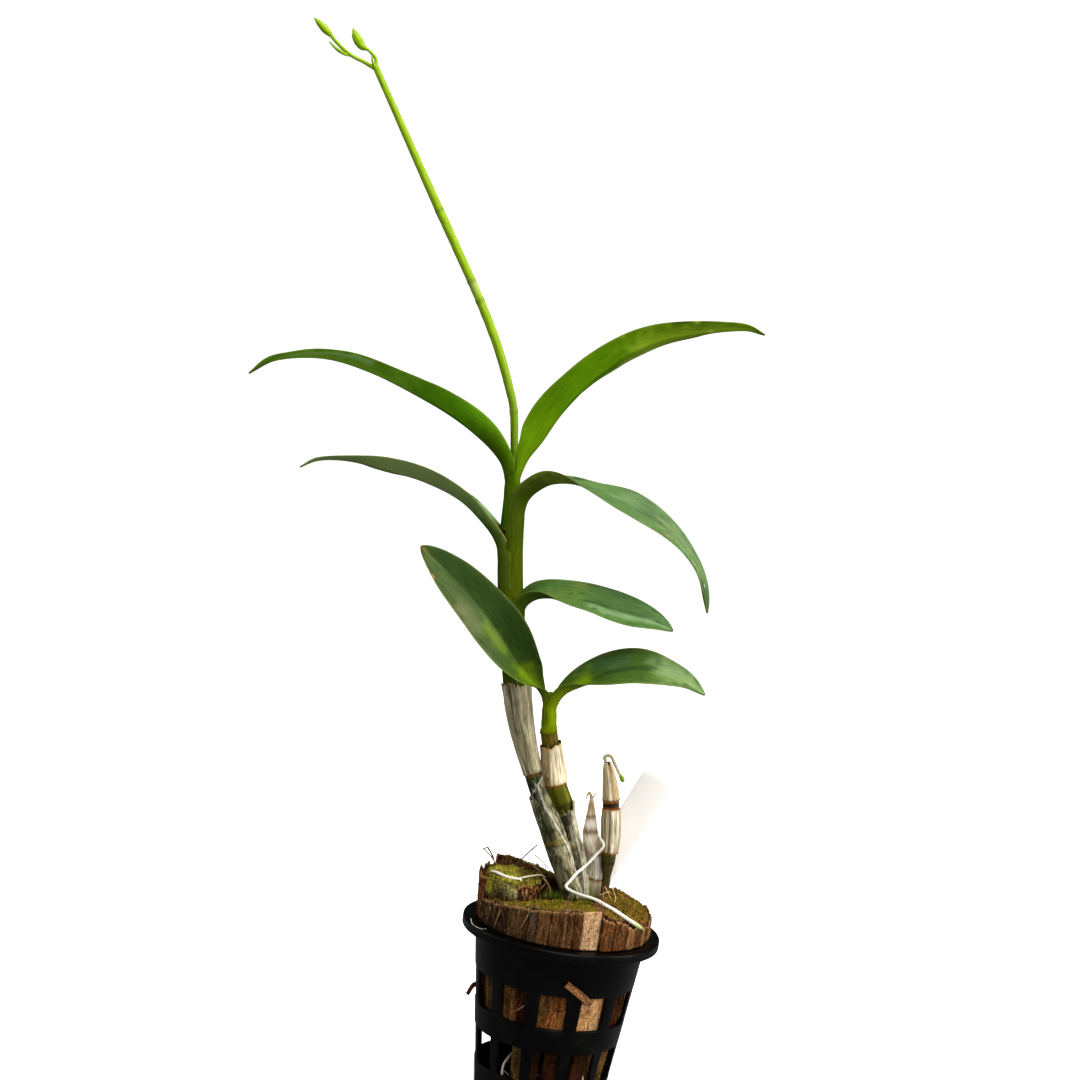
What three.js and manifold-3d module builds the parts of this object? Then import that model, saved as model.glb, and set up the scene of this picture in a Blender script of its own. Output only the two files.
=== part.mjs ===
// Dendrobium orchid growing in coconut husk, in a slotted net pot.
//
// Millimetres, +Z up. The origin is the centre of the pot's base, and the pot stands on z = 0.
// +X is to the right and -Y to the front. A bearing is an angle round a cane or round the pot,
// in degrees: 0 is to the right, 90 to the back, 180 to the left and -90 to the front.

import * as THREE from 'three';
import { mergeVertices } from 'three/addons/utils/BufferGeometryUtils.js';
import Module from 'manifold-3d';

const wasm = await Module();
wasm.setup();

// ---------------------------------------------------------------- driving dimensions

const CLEARANCE = 0.3; // between pieces that touch
const POT = {
  height: 80,
  rimRadius: 45,
  rimThickness: 4.5,
  baseRadius: 29.2,
  shoulderRadius: 39.4, // just under the rim
  wall: 1.6,
  floor: 2.4,
  corner: 0.8, // chamfer at the rim's and the base's edges
  facets: 36,
};
const SLOTS = {
  columns: 12,
  width: 12.3,
  height: 15.7,
  rows: [49.8, 23], // height of each row's centre
  floorWidth: 4,
  floorInner: 9,
  floorOuter: 21,
  floorCount: 8,
  cutDepth: 12, // of the blocks that cut the slots, through the wall and the floor
};
const HUSK = { lowerTop: 32, middleTop: 63, coreRadius: 13, coreFacets: 14 };
const LEAF_THICKNESS = 0.7;
const SHEATH = { thickness: 0.7, gap: 0.4 }; // gap to the bare cane inside it
const LABEL = {
  width: 15,
  length: 88,
  point: 6, // length of its pointed foot
  thickness: 0.6,
  corner: 1.5,
  lean: 24,
  top: [35, 14, 150], // middle of its top edge
};

// ---------------------------------------------------------------- materials

const material = (color, roughness, metalness = 0) =>
  new THREE.MeshStandardMaterial({ color, roughness, metalness });
const plasticBlack = material(0x17181a, 0.5);
const huskBrown = material(0x8a5f3c, 0.95);
const huskTan = material(0xb08a5f, 0.95);
const leafGreen = material(0x4a7a2a, 0.45);
const caneGreen = material(0x66701c, 0.5);
const caneTan = material(0xb09a6e, 0.8);
const sheathCream = material(0xd9ccae, 0.85);
const sheathGrey = material(0x9c9a86, 0.85);
const spikeGreen = material(0x8ab51e, 0.45);
const rootWhite = material(0xeeeade, 0.7);
const labelWhite = material(0xf3efdc, 0.4);

// ---------------------------------------------------------------- small helpers

const radians = THREE.MathUtils.degToRad;
const lerp = THREE.MathUtils.lerp;
const clamp = THREE.MathUtils.clamp;
const vector = (point) => new THREE.Vector3(...point);
const curveThrough = (points) =>
  new THREE.CatmullRomCurve3(points.map(vector), false, 'catmullrom', 0.5);

const orchid = new THREE.Group();

function addPiece(name, geometry, finish) {
  const mesh = new THREE.Mesh(geometry, finish);
  mesh.name = name;
  orchid.add(mesh);
}

// Piecewise straight value at x through [x, value] pairs.
function along(pairs, x) {
  const last = pairs.length - 1;
  if (x <= pairs[0][0]) return pairs[0][1];
  if (x >= pairs[last][0]) return pairs[last][1];
  const i = pairs.findIndex((pair) => pair[0] > x) - 1;
  const share = (x - pairs[i][0]) / (pairs[i + 1][0] - pairs[i][0]);
  return lerp(pairs[i][1], pairs[i + 1][1], share);
}

// Smooth value at t in 0..1 through evenly spaced stations, as a Catmull-Rom spline.
function blend(stations, t) {
  const last = stations.length - 1;
  const x = clamp(t, 0, 1) * last;
  const i = Math.min(Math.floor(x), last - 1);
  const [a, b, c, d] = [-1, 0, 1, 2].map((k) => stations[clamp(i + k, 0, last)]);
  const f = x - i;
  const straight = 2 * b + (c - a) * f;
  const curved = (2 * a - 5 * b + 4 * c - d) * f ** 2 + (3 * b - a - 3 * c + d) * f ** 3;
  return (straight + curved) / 2;
}

// A closed body from points and triangles, turned so that its faces point out.
function closedBody(points, triangles) {
  let volume = 0;
  for (const [a, b, c] of triangles) volume += points[a].dot(points[b].clone().cross(points[c]));
  const index = triangles.flatMap(([a, b, c]) => (volume > 0 ? [a, b, c] : [a, c, b]));
  const geometry = new THREE.BufferGeometry();
  const flat = points.flatMap((point) => [point.x, point.y, point.z]);
  geometry.setAttribute('position', new THREE.Float32BufferAttribute(flat, 3));
  geometry.setIndex(index);
  return geometry;
}

// Skin between neighbouring rings of equal point counts. Open ends get a fan to their middle;
// with joined ends the rings close on themselves, as round a tube wall.
function loft(rings, joinedEnds = false) {
  const count = rings[0].length;
  const points = rings.flat();
  const triangles = [];
  const spans = joinedEnds ? rings.length : rings.length - 1;
  for (let i = 0; i < spans; i += 1) {
    const here = i * count;
    const next = ((i + 1) % rings.length) * count;
    for (let j = 0; j < count; j += 1) {
      const k = (j + 1) % count;
      triangles.push([here + j, here + k, next + k], [here + j, next + k, next + j]);
    }
  }
  if (!joinedEnds) {
    for (const [ring, turned] of [[0, true], [rings.length - 1, false]]) {
      const middle = new THREE.Vector3();
      for (const point of rings[ring]) middle.addScaledVector(point, 1 / count);
      const centre = points.push(middle) - 1;
      for (let j = 0; j < count; j += 1) {
        const a = ring * count + j;
        const b = ring * count + ((j + 1) % count);
        triangles.push(turned ? [centre, b, a] : [centre, a, b]);
      }
    }
  }
  return closedBody(points, triangles);
}

// Solids for cutting and joining, and back again.
function toSolid(geometry) {
  const plain = geometry.clone();
  plain.deleteAttribute('normal');
  plain.deleteAttribute('uv');
  const merged = mergeVertices(plain, 1e-4);
  return new wasm.Manifold(new wasm.Mesh({
    numProp: 3,
    vertProperties: new Float32Array(merged.attributes.position.array),
    triVerts: new Uint32Array(merged.index.array),
  }));
}

function toGeometry(solid) {
  const mesh = solid.getMesh();
  const geometry = new THREE.BufferGeometry();
  geometry.setAttribute('position', new THREE.BufferAttribute(mesh.vertProperties, 3));
  geometry.setIndex(new THREE.BufferAttribute(mesh.triVerts, 1));
  return geometry;
}

// Points and cross axes along a curve, each frame carried on from the one before without twist.
function carryFrames(curve, steps, firstSide = new THREE.Vector3(1, 0, 0)) {
  const frames = [];
  let side = firstSide;
  for (let i = 0; i <= steps; i += 1) {
    const centre = curve.getPointAt(i / steps);
    const ahead = curve.getTangentAt(i / steps).normalize();
    side = side.clone().addScaledVector(ahead, -side.dot(ahead)).normalize();
    frames.push({ centre, side, up: ahead.clone().cross(side) });
  }
  return frames;
}

function ringIn(frame, radius, sides) {
  return Array.from({ length: sides }, (_, j) => {
    const turn = (2 * Math.PI * j) / sides;
    return frame.centre.clone()
      .addScaledVector(frame.side, radius * Math.cos(turn))
      .addScaledVector(frame.up, radius * Math.sin(turn));
  });
}

// A round strand along hand-placed points, with radius pairs [share of length, radius].
function strand(points, radii, steps, sides, firstSide) {
  const frames = carryFrames(curveThrough(points), steps, firstSide);
  return loft(frames.map((frame, i) => ringIn(frame, along(radii, i / steps), sides)));
}

// ---------------------------------------------------------------- net pot

// Outer radius of the pot's body at a height.
const potRadius = (z) => lerp(POT.baseRadius, POT.shoulderRadius, z / POT.height);
// Room inside the pot at a height, for what it holds.
const potRoom = (z) => potRadius(z) - POT.wall - CLEARANCE;

// A block as a solid, turned to a bearing at a radius and height.
function boxAt(width, depth, height, bearing, radius, z) {
  const box = new THREE.BoxGeometry(depth, width, height);
  box.translate(radius, 0, z);
  box.rotateZ(radians(bearing));
  return toSolid(box);
}

function netPot() {
  const rimBottom = POT.height - POT.rimThickness;
  const inner = (z) => potRadius(z) - POT.wall;
  const profile = [
    [0, 0], [potRadius(0) - POT.corner, 0], [potRadius(POT.corner), POT.corner],
    [potRadius(rimBottom), rimBottom],
    [POT.rimRadius - POT.corner, rimBottom], [POT.rimRadius, rimBottom + POT.corner],
    [POT.rimRadius, POT.height - POT.corner], [POT.rimRadius - POT.corner, POT.height],
    [inner(POT.height), POT.height],
    [inner(POT.floor), POT.floor], [0, POT.floor],
  ].map(([x, y]) => new THREE.Vector2(x, y));
  const turned = new THREE.LatheGeometry(profile, POT.facets);
  turned.rotateX(Math.PI / 2);
  let pot = toSolid(turned);
  for (let column = 0; column < SLOTS.columns; column += 1) {
    const bearing = -90 + (column * 360) / SLOTS.columns;
    for (const z of SLOTS.rows) {
      const middle = potRadius(z) - POT.wall / 2;
      pot = pot.subtract(boxAt(SLOTS.width, SLOTS.cutDepth, SLOTS.height, bearing, middle, z));
    }
  }
  const slotLength = SLOTS.floorOuter - SLOTS.floorInner;
  const slotMiddle = (SLOTS.floorOuter + SLOTS.floorInner) / 2;
  for (let i = 0; i < SLOTS.floorCount; i += 1) {
    const bearing = (i * 360) / SLOTS.floorCount;
    const cut = boxAt(SLOTS.floorWidth, slotLength, SLOTS.cutDepth, bearing, slotMiddle, 0);
    pot = pot.subtract(cut);
  }
  return toGeometry(pot);
}

// ---------------------------------------------------------------- husk filling

// A chip that fills a sector of the pot between two bearings. Its outer face lies `recess` inside
// the room that the wall leaves.
const CHIP_CORNERS = 4;

function chip({ from, to, inner, recess, bottom, top }) {
  const ringAt = (z) => {
    const outer = potRoom(z) - recess;
    const steps = CHIP_CORNERS - 1;
    const arc = Array.from({ length: CHIP_CORNERS }, (_, i) => lerp(from, to, i / steps));
    const outside = arc.map((bearing) => [outer, radians(bearing)]);
    const inside = arc.reverse().map((bearing) => [inner, radians(bearing)]);
    return [...outside, ...inside].map(([r, a]) =>
      new THREE.Vector3(r * Math.cos(a), r * Math.sin(a), z));
  };
  return prismoid(ringAt(bottom), ringAt(top));
}

// A body between two rings whose caps are strips from outside to inside corners.
function prismoid(lower, upper) {
  const count = lower.length;
  const points = [...lower, ...upper];
  const triangles = [];
  for (let j = 0; j < count; j += 1) {
    const k = (j + 1) % count;
    triangles.push([j, k, count + k], [j, count + k, count + j]);
  }
  for (let j = 0; j < count / 2 - 1; j += 1) {
    const across = count - 1 - j;
    triangles.push([j, across, across - 1], [j, across - 1, j + 1]);
    triangles.push([count + j, count + across - 1, count + across]);
    triangles.push([count + j, count + j + 1, count + across - 1]);
  }
  return closedBody(points, triangles);
}

const middleChips = [
  { name: 'a', from: -168, to: -153, inner: 15, recess: 1.2 },
  { name: 'b', from: -149, to: -137, inner: 16, recess: 0.2 },
  { name: 'c', from: -135, to: -121, inner: 15, recess: 0.4 },
  { name: 'd', from: -119, to: -107, inner: 17, recess: 2.2 },
  { name: 'e', from: -105, to: -76, inner: 15, recess: 0.1 },
  { name: 'f', from: -73, to: -46, inner: 14, recess: 0.3 },
  { name: 'g', from: -43, to: -16, inner: 15, recess: 1.5 },
  { name: 'h', from: -13, to: 24, inner: 14, recess: 0.5 },
  { name: 'i', from: 27, to: 76, inner: 14, recess: 0.8 },
  { name: 'j', from: 79, to: 128, inner: 14, recess: 0.4 },
  { name: 'k', from: 131, to: 188, inner: 14, recess: 0.9 },
];
const lowerChips = [
  { name: 'a', from: -122, to: -109, inner: 15, recess: 1.0 },
  { name: 'b', from: -104, to: -94, inner: 15, recess: 1.4 },
  { name: 'c', from: -92, to: -76, inner: 15, recess: 0.8 },
  { name: 'd', from: -66, to: -50, inner: 14, recess: 0.5 },
  { name: 'e', from: -22, to: 32, inner: 14, recess: 1.0 },
  { name: 'f', from: 48, to: 98, inner: 14, recess: 0.6 },
];

function addLowerHusk() {
  const floor = POT.floor + CLEARANCE;
  const middleBottom = HUSK.lowerTop + CLEARANCE;
  for (const { name, ...shape } of lowerChips) {
    const body = chip({ ...shape, bottom: floor, top: HUSK.lowerTop });
    addPiece(`husk_chip_lower_${name}`, body, huskTan);
  }
  for (const { name, ...shape } of middleChips) {
    const body = chip({ ...shape, bottom: middleBottom, top: HUSK.middleTop });
    addPiece(`husk_chip_middle_${name}`, body, huskTan);
  }
  const core = new THREE.CylinderGeometry(HUSK.coreRadius, HUSK.coreRadius,
    HUSK.middleTop - floor, HUSK.coreFacets);
  core.rotateX(Math.PI / 2);
  core.translate(0, 0, (HUSK.middleTop + floor) / 2);
  addPiece('husk_core', core, huskBrown);
}

// A cut block of husk in the pot's mouth: its outline above the rim, and below the rim the same
// outline drawn in to the room inside the pot. `top` gives its height above each point of the
// outline, and `dome` how much higher it stands inside the shoulder.
const SHOULDER = 0.35; // share of the way from the outline to its middle

function huskBlock({ outline, top, dome }) {
  const bottom = HUSK.middleTop + CLEARANCE;
  const neck = POT.height - 1;
  const ledge = POT.height + CLEARANCE;
  const corners = outline.map(([x, y]) => new THREE.Vector2(x, y));
  const middle = new THREE.Vector2();
  for (const corner of corners) middle.addScaledVector(corner, 1 / corners.length);
  const ring = (limit, height) => corners.map((corner) => {
    const { x, y } = corner.clone().clampLength(0, limit);
    return new THREE.Vector3(x, y, height(x, y));
  });
  const inset = corners.map((corner) => {
    const { x, y } = corner.clone().lerp(middle, SHOULDER);
    return new THREE.Vector3(x, y, top(x, y) + dome);
  });
  return loft([
    ring(potRoom(bottom), () => bottom),
    ring(potRoom(neck), () => neck),
    ring(potRoom(neck), () => ledge),
    ring(Infinity, () => ledge + POT.corner),
    ring(Infinity, top),
    inset,
  ]);
}

// Points on a circle round the pot's axis, from one bearing to another.
const arcPoints = (radius, from, to, steps) =>
  Array.from({ length: steps + 1 }, (_, i) => {
    const a = radians(lerp(from, to, i / steps));
    return [radius * Math.cos(a), radius * Math.sin(a)];
  });

const huskBlocks = {
  front_left: {
    outline: [...arcPoints(38.5, 197, 293, 10),
      [14.5, -24], [13.6, -11.3], [0, -11.2], [-18, -11.4]],
    top: (x) => 96.4 + 0.1 * x,
    dome: 0.4,
  },
  right: {
    outline: [...arcPoints(39.5, -64.5, 19, 7),
      [22.6, 13.2], [22.4, 0], [15, -11], [15.6, -24]],
    top: (x, y) => 97.5 - 0.42 * (x - 18) + 0.06 * y,
    dome: 0.6,
  },
  left: {
    outline: [...arcPoints(38.5, 195.5, 160, 4),
      [-14, 13.2], [-13.6, 1], [-14, -10.2], [-26, -10]],
    top: (x) => 100.5 - 0.12 * (x + 26),
    dome: 2.6,
  },
  centre: {
    outline: [[-13, 13], [-13, -10.6], [0, -10.6], [14, -10.6], [21.8, 0], [22, 13], [3, 13.2]],
    top: () => 85.7,
    dome: 0.3,
  },
  back_left: {
    outline: [...arcPoints(36.5, 154, 91, 7),
      [-0.6, 14.8], [-12, 14.8], [-24, 14.7], [-33, 15]],
    top: (x, y) => 101.5 - 0.3 * (x + 24) - 0.14 * (y - 15),
    dome: 0.8,
  },
  back_right: {
    outline: [[33, 15], [20, 14.8], [8, 14.8], [0.8, 14.9],
      ...arcPoints(36.5, 88.8, 26, 7)],
    top: (x, y) => 94 - 0.15 * (x - 15) - 0.1 * (y - 15),
    dome: 0.8,
  },
};

function addUpperHusk() {
  for (const [name, block] of Object.entries(huskBlocks)) {
    addPiece(`husk_${name}`, huskBlock(block), huskBrown);
  }
}

// ---------------------------------------------------------------- canes and their sheaths

// Each cane follows a curve that only climbs. `profile` gives its bare radius by height.
const canes = {
  main: {
    path: [[3.4, -5, 91], [2.6, -5, 95], [0.4, -5, 100], [-9, -5, 120], [-24, -5, 151],
      [-33, -4, 176], [-41, -4, 212], [-46, -4, 244], [-48, -4, 268], [-49, -4, 279]],
    profile: [[91, 3], [96, 3], [108, 3.2], [120, 2.7], [134, 2.7], [139, 3.4], [147, 3.5],
      [151, 3.4], [164, 4.2], [176, 4.8], [186.5, 5.1], [187.5, 6], [203.6, 5.8], [204.4, 4.6],
      [214, 4.5], [218, 4.3], [242, 4.1], [245, 3.7], [251, 3.7], [252, 3.4], [266, 3.3],
      [267, 1.7], [279, 1.6]],
    finish: caneGreen,
    sides: 14,
  },
  short: {
    path: [[6.4, 4, 90.8], [5.6, 3.8, 98], [3, 2.8, 110], [-0.6, 0.6, 121], [-5, -2.6, 134],
      [-10, -4.5, 144], [-14, -6.3, 158], [-18, -8, 169], [-19.5, -9, 177], [-20, -9.3, 186]],
    profile: [[90.8, 3.2], [98, 3.4], [110, 4], [121, 4.2], [131, 4.3], [134, 5.2], [143, 5.2],
      [147, 4.1], [160, 3.9], [163, 3.6], [170.6, 3.5], [171.4, 1.3], [185, 1.2]],
    finish: caneGreen,
    sides: 12,
  },
  old: {
    path: [[17.8, 3, 90.8], [17.4, 3, 100], [17, 3, 112], [16.5, 3, 122], [14.6, 3, 137],
      [12, 3, 149], [10, 3, 156]],
    profile: [[90.8, 1.9], [104, 1.9], [108, 3], [112, 3], [114, 3.3], [122, 3.5], [131, 3],
      [133, 3.4], [137, 3.4], [139, 2.7], [150, 1.7], [156, 1.1]],
    finish: caneTan,
    sides: 10,
  },
  tip: {
    path: [[12.6, 8.4, 90.8], [12.4, 9, 98], [12, 9, 107], [8.4, 8, 120], [7.4, 8, 128],
      [6, 8, 139]],
    profile: [[90.8, 3], [101, 3.5], [104, 3], [115, 3.1], [120, 3.2], [128, 2], [136, 0.9],
      [139, 0.4]],
    finish: caneTan,
    sides: 10,
  },
};

for (const cane of Object.values(canes)) cane.curve = curveThrough(cane.path);

// Centre and cross axes of a cane at a height, found by halving.
function caneFrame(cane, z) {
  let low = 0;
  let high = 1;
  for (let i = 0; i < 30; i += 1) {
    const middle = (low + high) / 2;
    if (cane.curve.getPoint(middle).z < z) low = middle;
    else high = middle;
  }
  const ahead = cane.curve.getTangent(low).normalize();
  const side = new THREE.Vector3(1, 0, 0);
  side.addScaledVector(ahead, -side.dot(ahead)).normalize();
  return { centre: cane.curve.getPoint(low), side, up: ahead.clone().cross(side) };
}

// The cane's rings stand at its profile's heights, and between them at most this far apart.
const CANE_STEP = 9;

function caneBody(cane) {
  const heights = [];
  for (let i = 0; i < cane.profile.length - 1; i += 1) {
    const [z0] = cane.profile[i];
    const [z1] = cane.profile[i + 1];
    const steps = Math.max(1, Math.round((z1 - z0) / CANE_STEP));
    for (let k = 0; k < steps; k += 1) heights.push(lerp(z0, z1, k / steps));
  }
  heights.push(cane.profile.at(-1)[0]);
  return loft(heights.map((z) => ringIn(caneFrame(cane, z), along(cane.profile, z), cane.sides)));
}

// A dry sheath wrapped round a cane from one height to a top edge that varies with the bearing.
function sheath({ cane, bottom, top, sides, steps }) {
  const { profile } = canes[cane];
  const pointAt = (share, bearing, wall) => {
    const z = lerp(bottom, top(bearing), share);
    const { centre, side, up } = caneFrame(canes[cane], z);
    const radius = along(profile, z) + SHEATH.gap + wall;
    return centre
      .addScaledVector(side, radius * Math.cos(radians(bearing)))
      .addScaledVector(up, radius * Math.sin(radians(bearing)));
  };
  const ringAt = (share, wall) =>
    Array.from({ length: sides }, (_, j) => pointAt(share, (360 * j) / sides, wall));
  const shares = Array.from({ length: steps + 1 }, (_, i) => i / steps);
  const outside = shares.map((share) => ringAt(share, SHEATH.thickness));
  const inside = shares.map((share) => ringAt(1 - share, 0));
  return loft([...outside, ...inside], true);
}

// A height that rises to a point at one bearing: `rise` above `base`, over `spread` degrees.
const pointed = (base, rise, bearing, spread) => (b) => {
  const away = Math.abs(((b - bearing + 540) % 360) - 180);
  return base + rise * Math.max(0, 1 - away / spread);
};

// A torn edge: `waves` shallow teeth round a height.
const torn = (base, depth, waves) => (b) => base + depth * Math.cos(radians(waves * b));

const sheaths = {
  main_lower: { cane: 'main', bottom: 93, top: pointed(120, 22, -20, 110), sides: 14, steps: 6 },
  main_upper: { cane: 'main', bottom: 148, top: torn(185.8, 0.6, 3), sides: 14, steps: 4 },
  short_lower: { cane: 'short', bottom: 93, top: pointed(127, 3.5, 160, 120), sides: 14, steps: 5 },
  short_upper: { cane: 'short', bottom: 144.6, top: torn(160.5, 1.2, 1), sides: 14, steps: 4 },
  old_middle: { cane: 'old', bottom: 112.4, top: torn(131.4, 0, 0), sides: 12, steps: 4 },
  old_upper: { cane: 'old', bottom: 138, top: torn(149.6, 0, 0), sides: 12, steps: 3 },
  tip: { cane: 'tip', bottom: 104.4, top: torn(113.6, 0, 0), sides: 12, steps: 2 },
};

function addCanes() {
  for (const [name, cane] of Object.entries(canes)) {
    addPiece(`cane_${name}`, caneBody(cane), cane.finish);
  }
  for (const [name, shape] of Object.entries(sheaths)) {
    addPiece(`sheath_${name}`, sheath(shape), name.endsWith('lower') ? sheathGrey : sheathCream);
  }
}

// The creeping stem that the canes stand on.
function rhizome() {
  const path = [[20.6, 2.4, 88.4], [17, 3.6, 88.3], [11.4, 7, 88.3], [6, 3, 88.4],
    [3, -4, 88.5], [1, -8, 88.6]];
  const radii = [[0, 0.9], [0.1, 1.6], [0.3, 1.9], [0.55, 1.7], [0.8, 1.9], [1, 0.8]];
  return strand(path, radii, 16, 8, new THREE.Vector3(0, 0, 1));
}

// ---------------------------------------------------------------- leaves

// A blade along a curve. `bearing` is the side that the leaf grows to and `clasp` the heights
// between which its base wraps the cane at `claspRadius`. From there to the tip, `widths` are half
// widths, `fold` is the angle of each half at the midrib, `curl` how far a half turns on to its
// margin, and `roll` turns the blade about its own length.
const LEAF_GRID = { rows: 22, columns: 6 };
const CLASP_ARC = 88; // how far each half of a base reaches round its cane
const TIP_ROUND = 0.6; // 0.5 would end a blade as an ellipse, 1 as a parabola
const TIP_WIDTH = 0.5;
const KEEL = 1 / 3; // share of a half over which the surface turns flat towards the midrib
const SPAN_STEPS = 20; // steps in which each span of a midrib is measured

function leafWidth({ claspRadius, widths }, share) {
  const base = claspRadius * radians(CLASP_ARC);
  const taper = Math.max(1 - share ** 2, 0) ** TIP_ROUND;
  return Math.max(blend([base, ...widths], share) * taper, TIP_WIDTH);
}

// The midrib: up the cane's side over the height of the clasp, then out along the free points.
// `claspEnd` is the share of its length that lies on the cane.
function midrib(leaf, outward) {
  const onCane = [0, 0.5, 1].map((share) => {
    const { centre } = caneFrame(canes[leaf.cane], lerp(...leaf.clasp, share));
    return centre.addScaledVector(outward, leaf.claspRadius);
  });
  const points = [...onCane, ...leaf.free.map(vector)];
  const curve = new THREE.CatmullRomCurve3(points, false, 'catmullrom', 0.5);
  const lengths = curve.getLengths((points.length - 1) * SPAN_STEPS);
  const claspEnd = lengths[(onCane.length - 1) * SPAN_STEPS] / lengths.at(-1);
  return { curve, claspEnd };
}

function leafSurface(leaf) {
  const bearing = radians(leaf.bearing);
  const outward = new THREE.Vector3(Math.cos(bearing), Math.sin(bearing), 0);
  const across = new THREE.Vector3(-Math.sin(bearing), Math.cos(bearing), 0);
  const { curve, claspEnd } = midrib(leaf, outward);
  return (t, v) => {
    const ahead = curve.getTangentAt(t).normalize();
    const side = across.clone().addScaledVector(ahead, -across.dot(ahead)).normalize();
    const up = ahead.clone().cross(side);
    const share = Math.max(0, (t - claspEnd) / (1 - claspEnd));
    const roll = radians(blend(leaf.roll, share));
    const rolledSide = side.clone().multiplyScalar(Math.cos(roll))
      .addScaledVector(up, -Math.sin(roll));
    const rolledUp = up.clone().multiplyScalar(Math.cos(roll))
      .addScaledVector(side, Math.sin(roll));
    const width = leafWidth(leaf, share);
    const fold = radians(blend(leaf.fold, share));
    const bend = radians(blend(leaf.curl, share)) / width;
    const reach = Math.abs(v) * width;
    const out = ((Math.sin(fold + bend * reach) - Math.sin(fold)) / bend) * Math.sign(v);
    const rise = (Math.cos(fold) - Math.cos(fold + bend * reach)) / bend;
    const slope = fold * Math.min(1, Math.abs(v) / KEEL) + bend * reach;
    return {
      point: curve.getPointAt(t).addScaledVector(rolledSide, out).addScaledVector(rolledUp, rise),
      normal: rolledUp.clone().multiplyScalar(Math.cos(slope))
        .addScaledVector(rolledSide, -Math.sin(slope) * Math.sign(v)),
    };
  };
}

function leafBody(leaf) {
  const surface = leafSurface(leaf);
  const { rows, columns } = LEAF_GRID;
  const width = columns + 1;
  const points = [];
  for (const half of [0.5, -0.5]) {
    for (let i = 0; i <= rows; i += 1) {
      for (let j = 0; j <= columns; j += 1) {
        const { point, normal } = surface(i / rows, (2 * j) / columns - 1);
        points.push(point.addScaledVector(normal, half * LEAF_THICKNESS));
      }
    }
  }
  const under = (rows + 1) * width;
  const triangles = [];
  const quad = (a, b, c, d) => triangles.push([a, b, c], [a, c, d]);
  for (let i = 0; i < rows; i += 1) {
    for (let j = 0; j < columns; j += 1) {
      const a = i * width + j;
      const b = a + width;
      quad(a, b, b + 1, a + 1);
      triangles.push([under + a, under + b + 1, under + b]);
      triangles.push([under + a, under + a + 1, under + b + 1]);
    }
    const left = i * width;
    const right = left + columns;
    quad(left, under + left, under + left + width, left + width);
    quad(right, right + width, under + right + width, under + right);
  }
  for (let j = 0; j < columns; j += 1) {
    const far = rows * width + j;
    quad(j, j + 1, under + j + 1, under + j);
    quad(far, under + far, under + far + 1, far + 1);
  }
  return closedBody(points, triangles);
}

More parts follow.
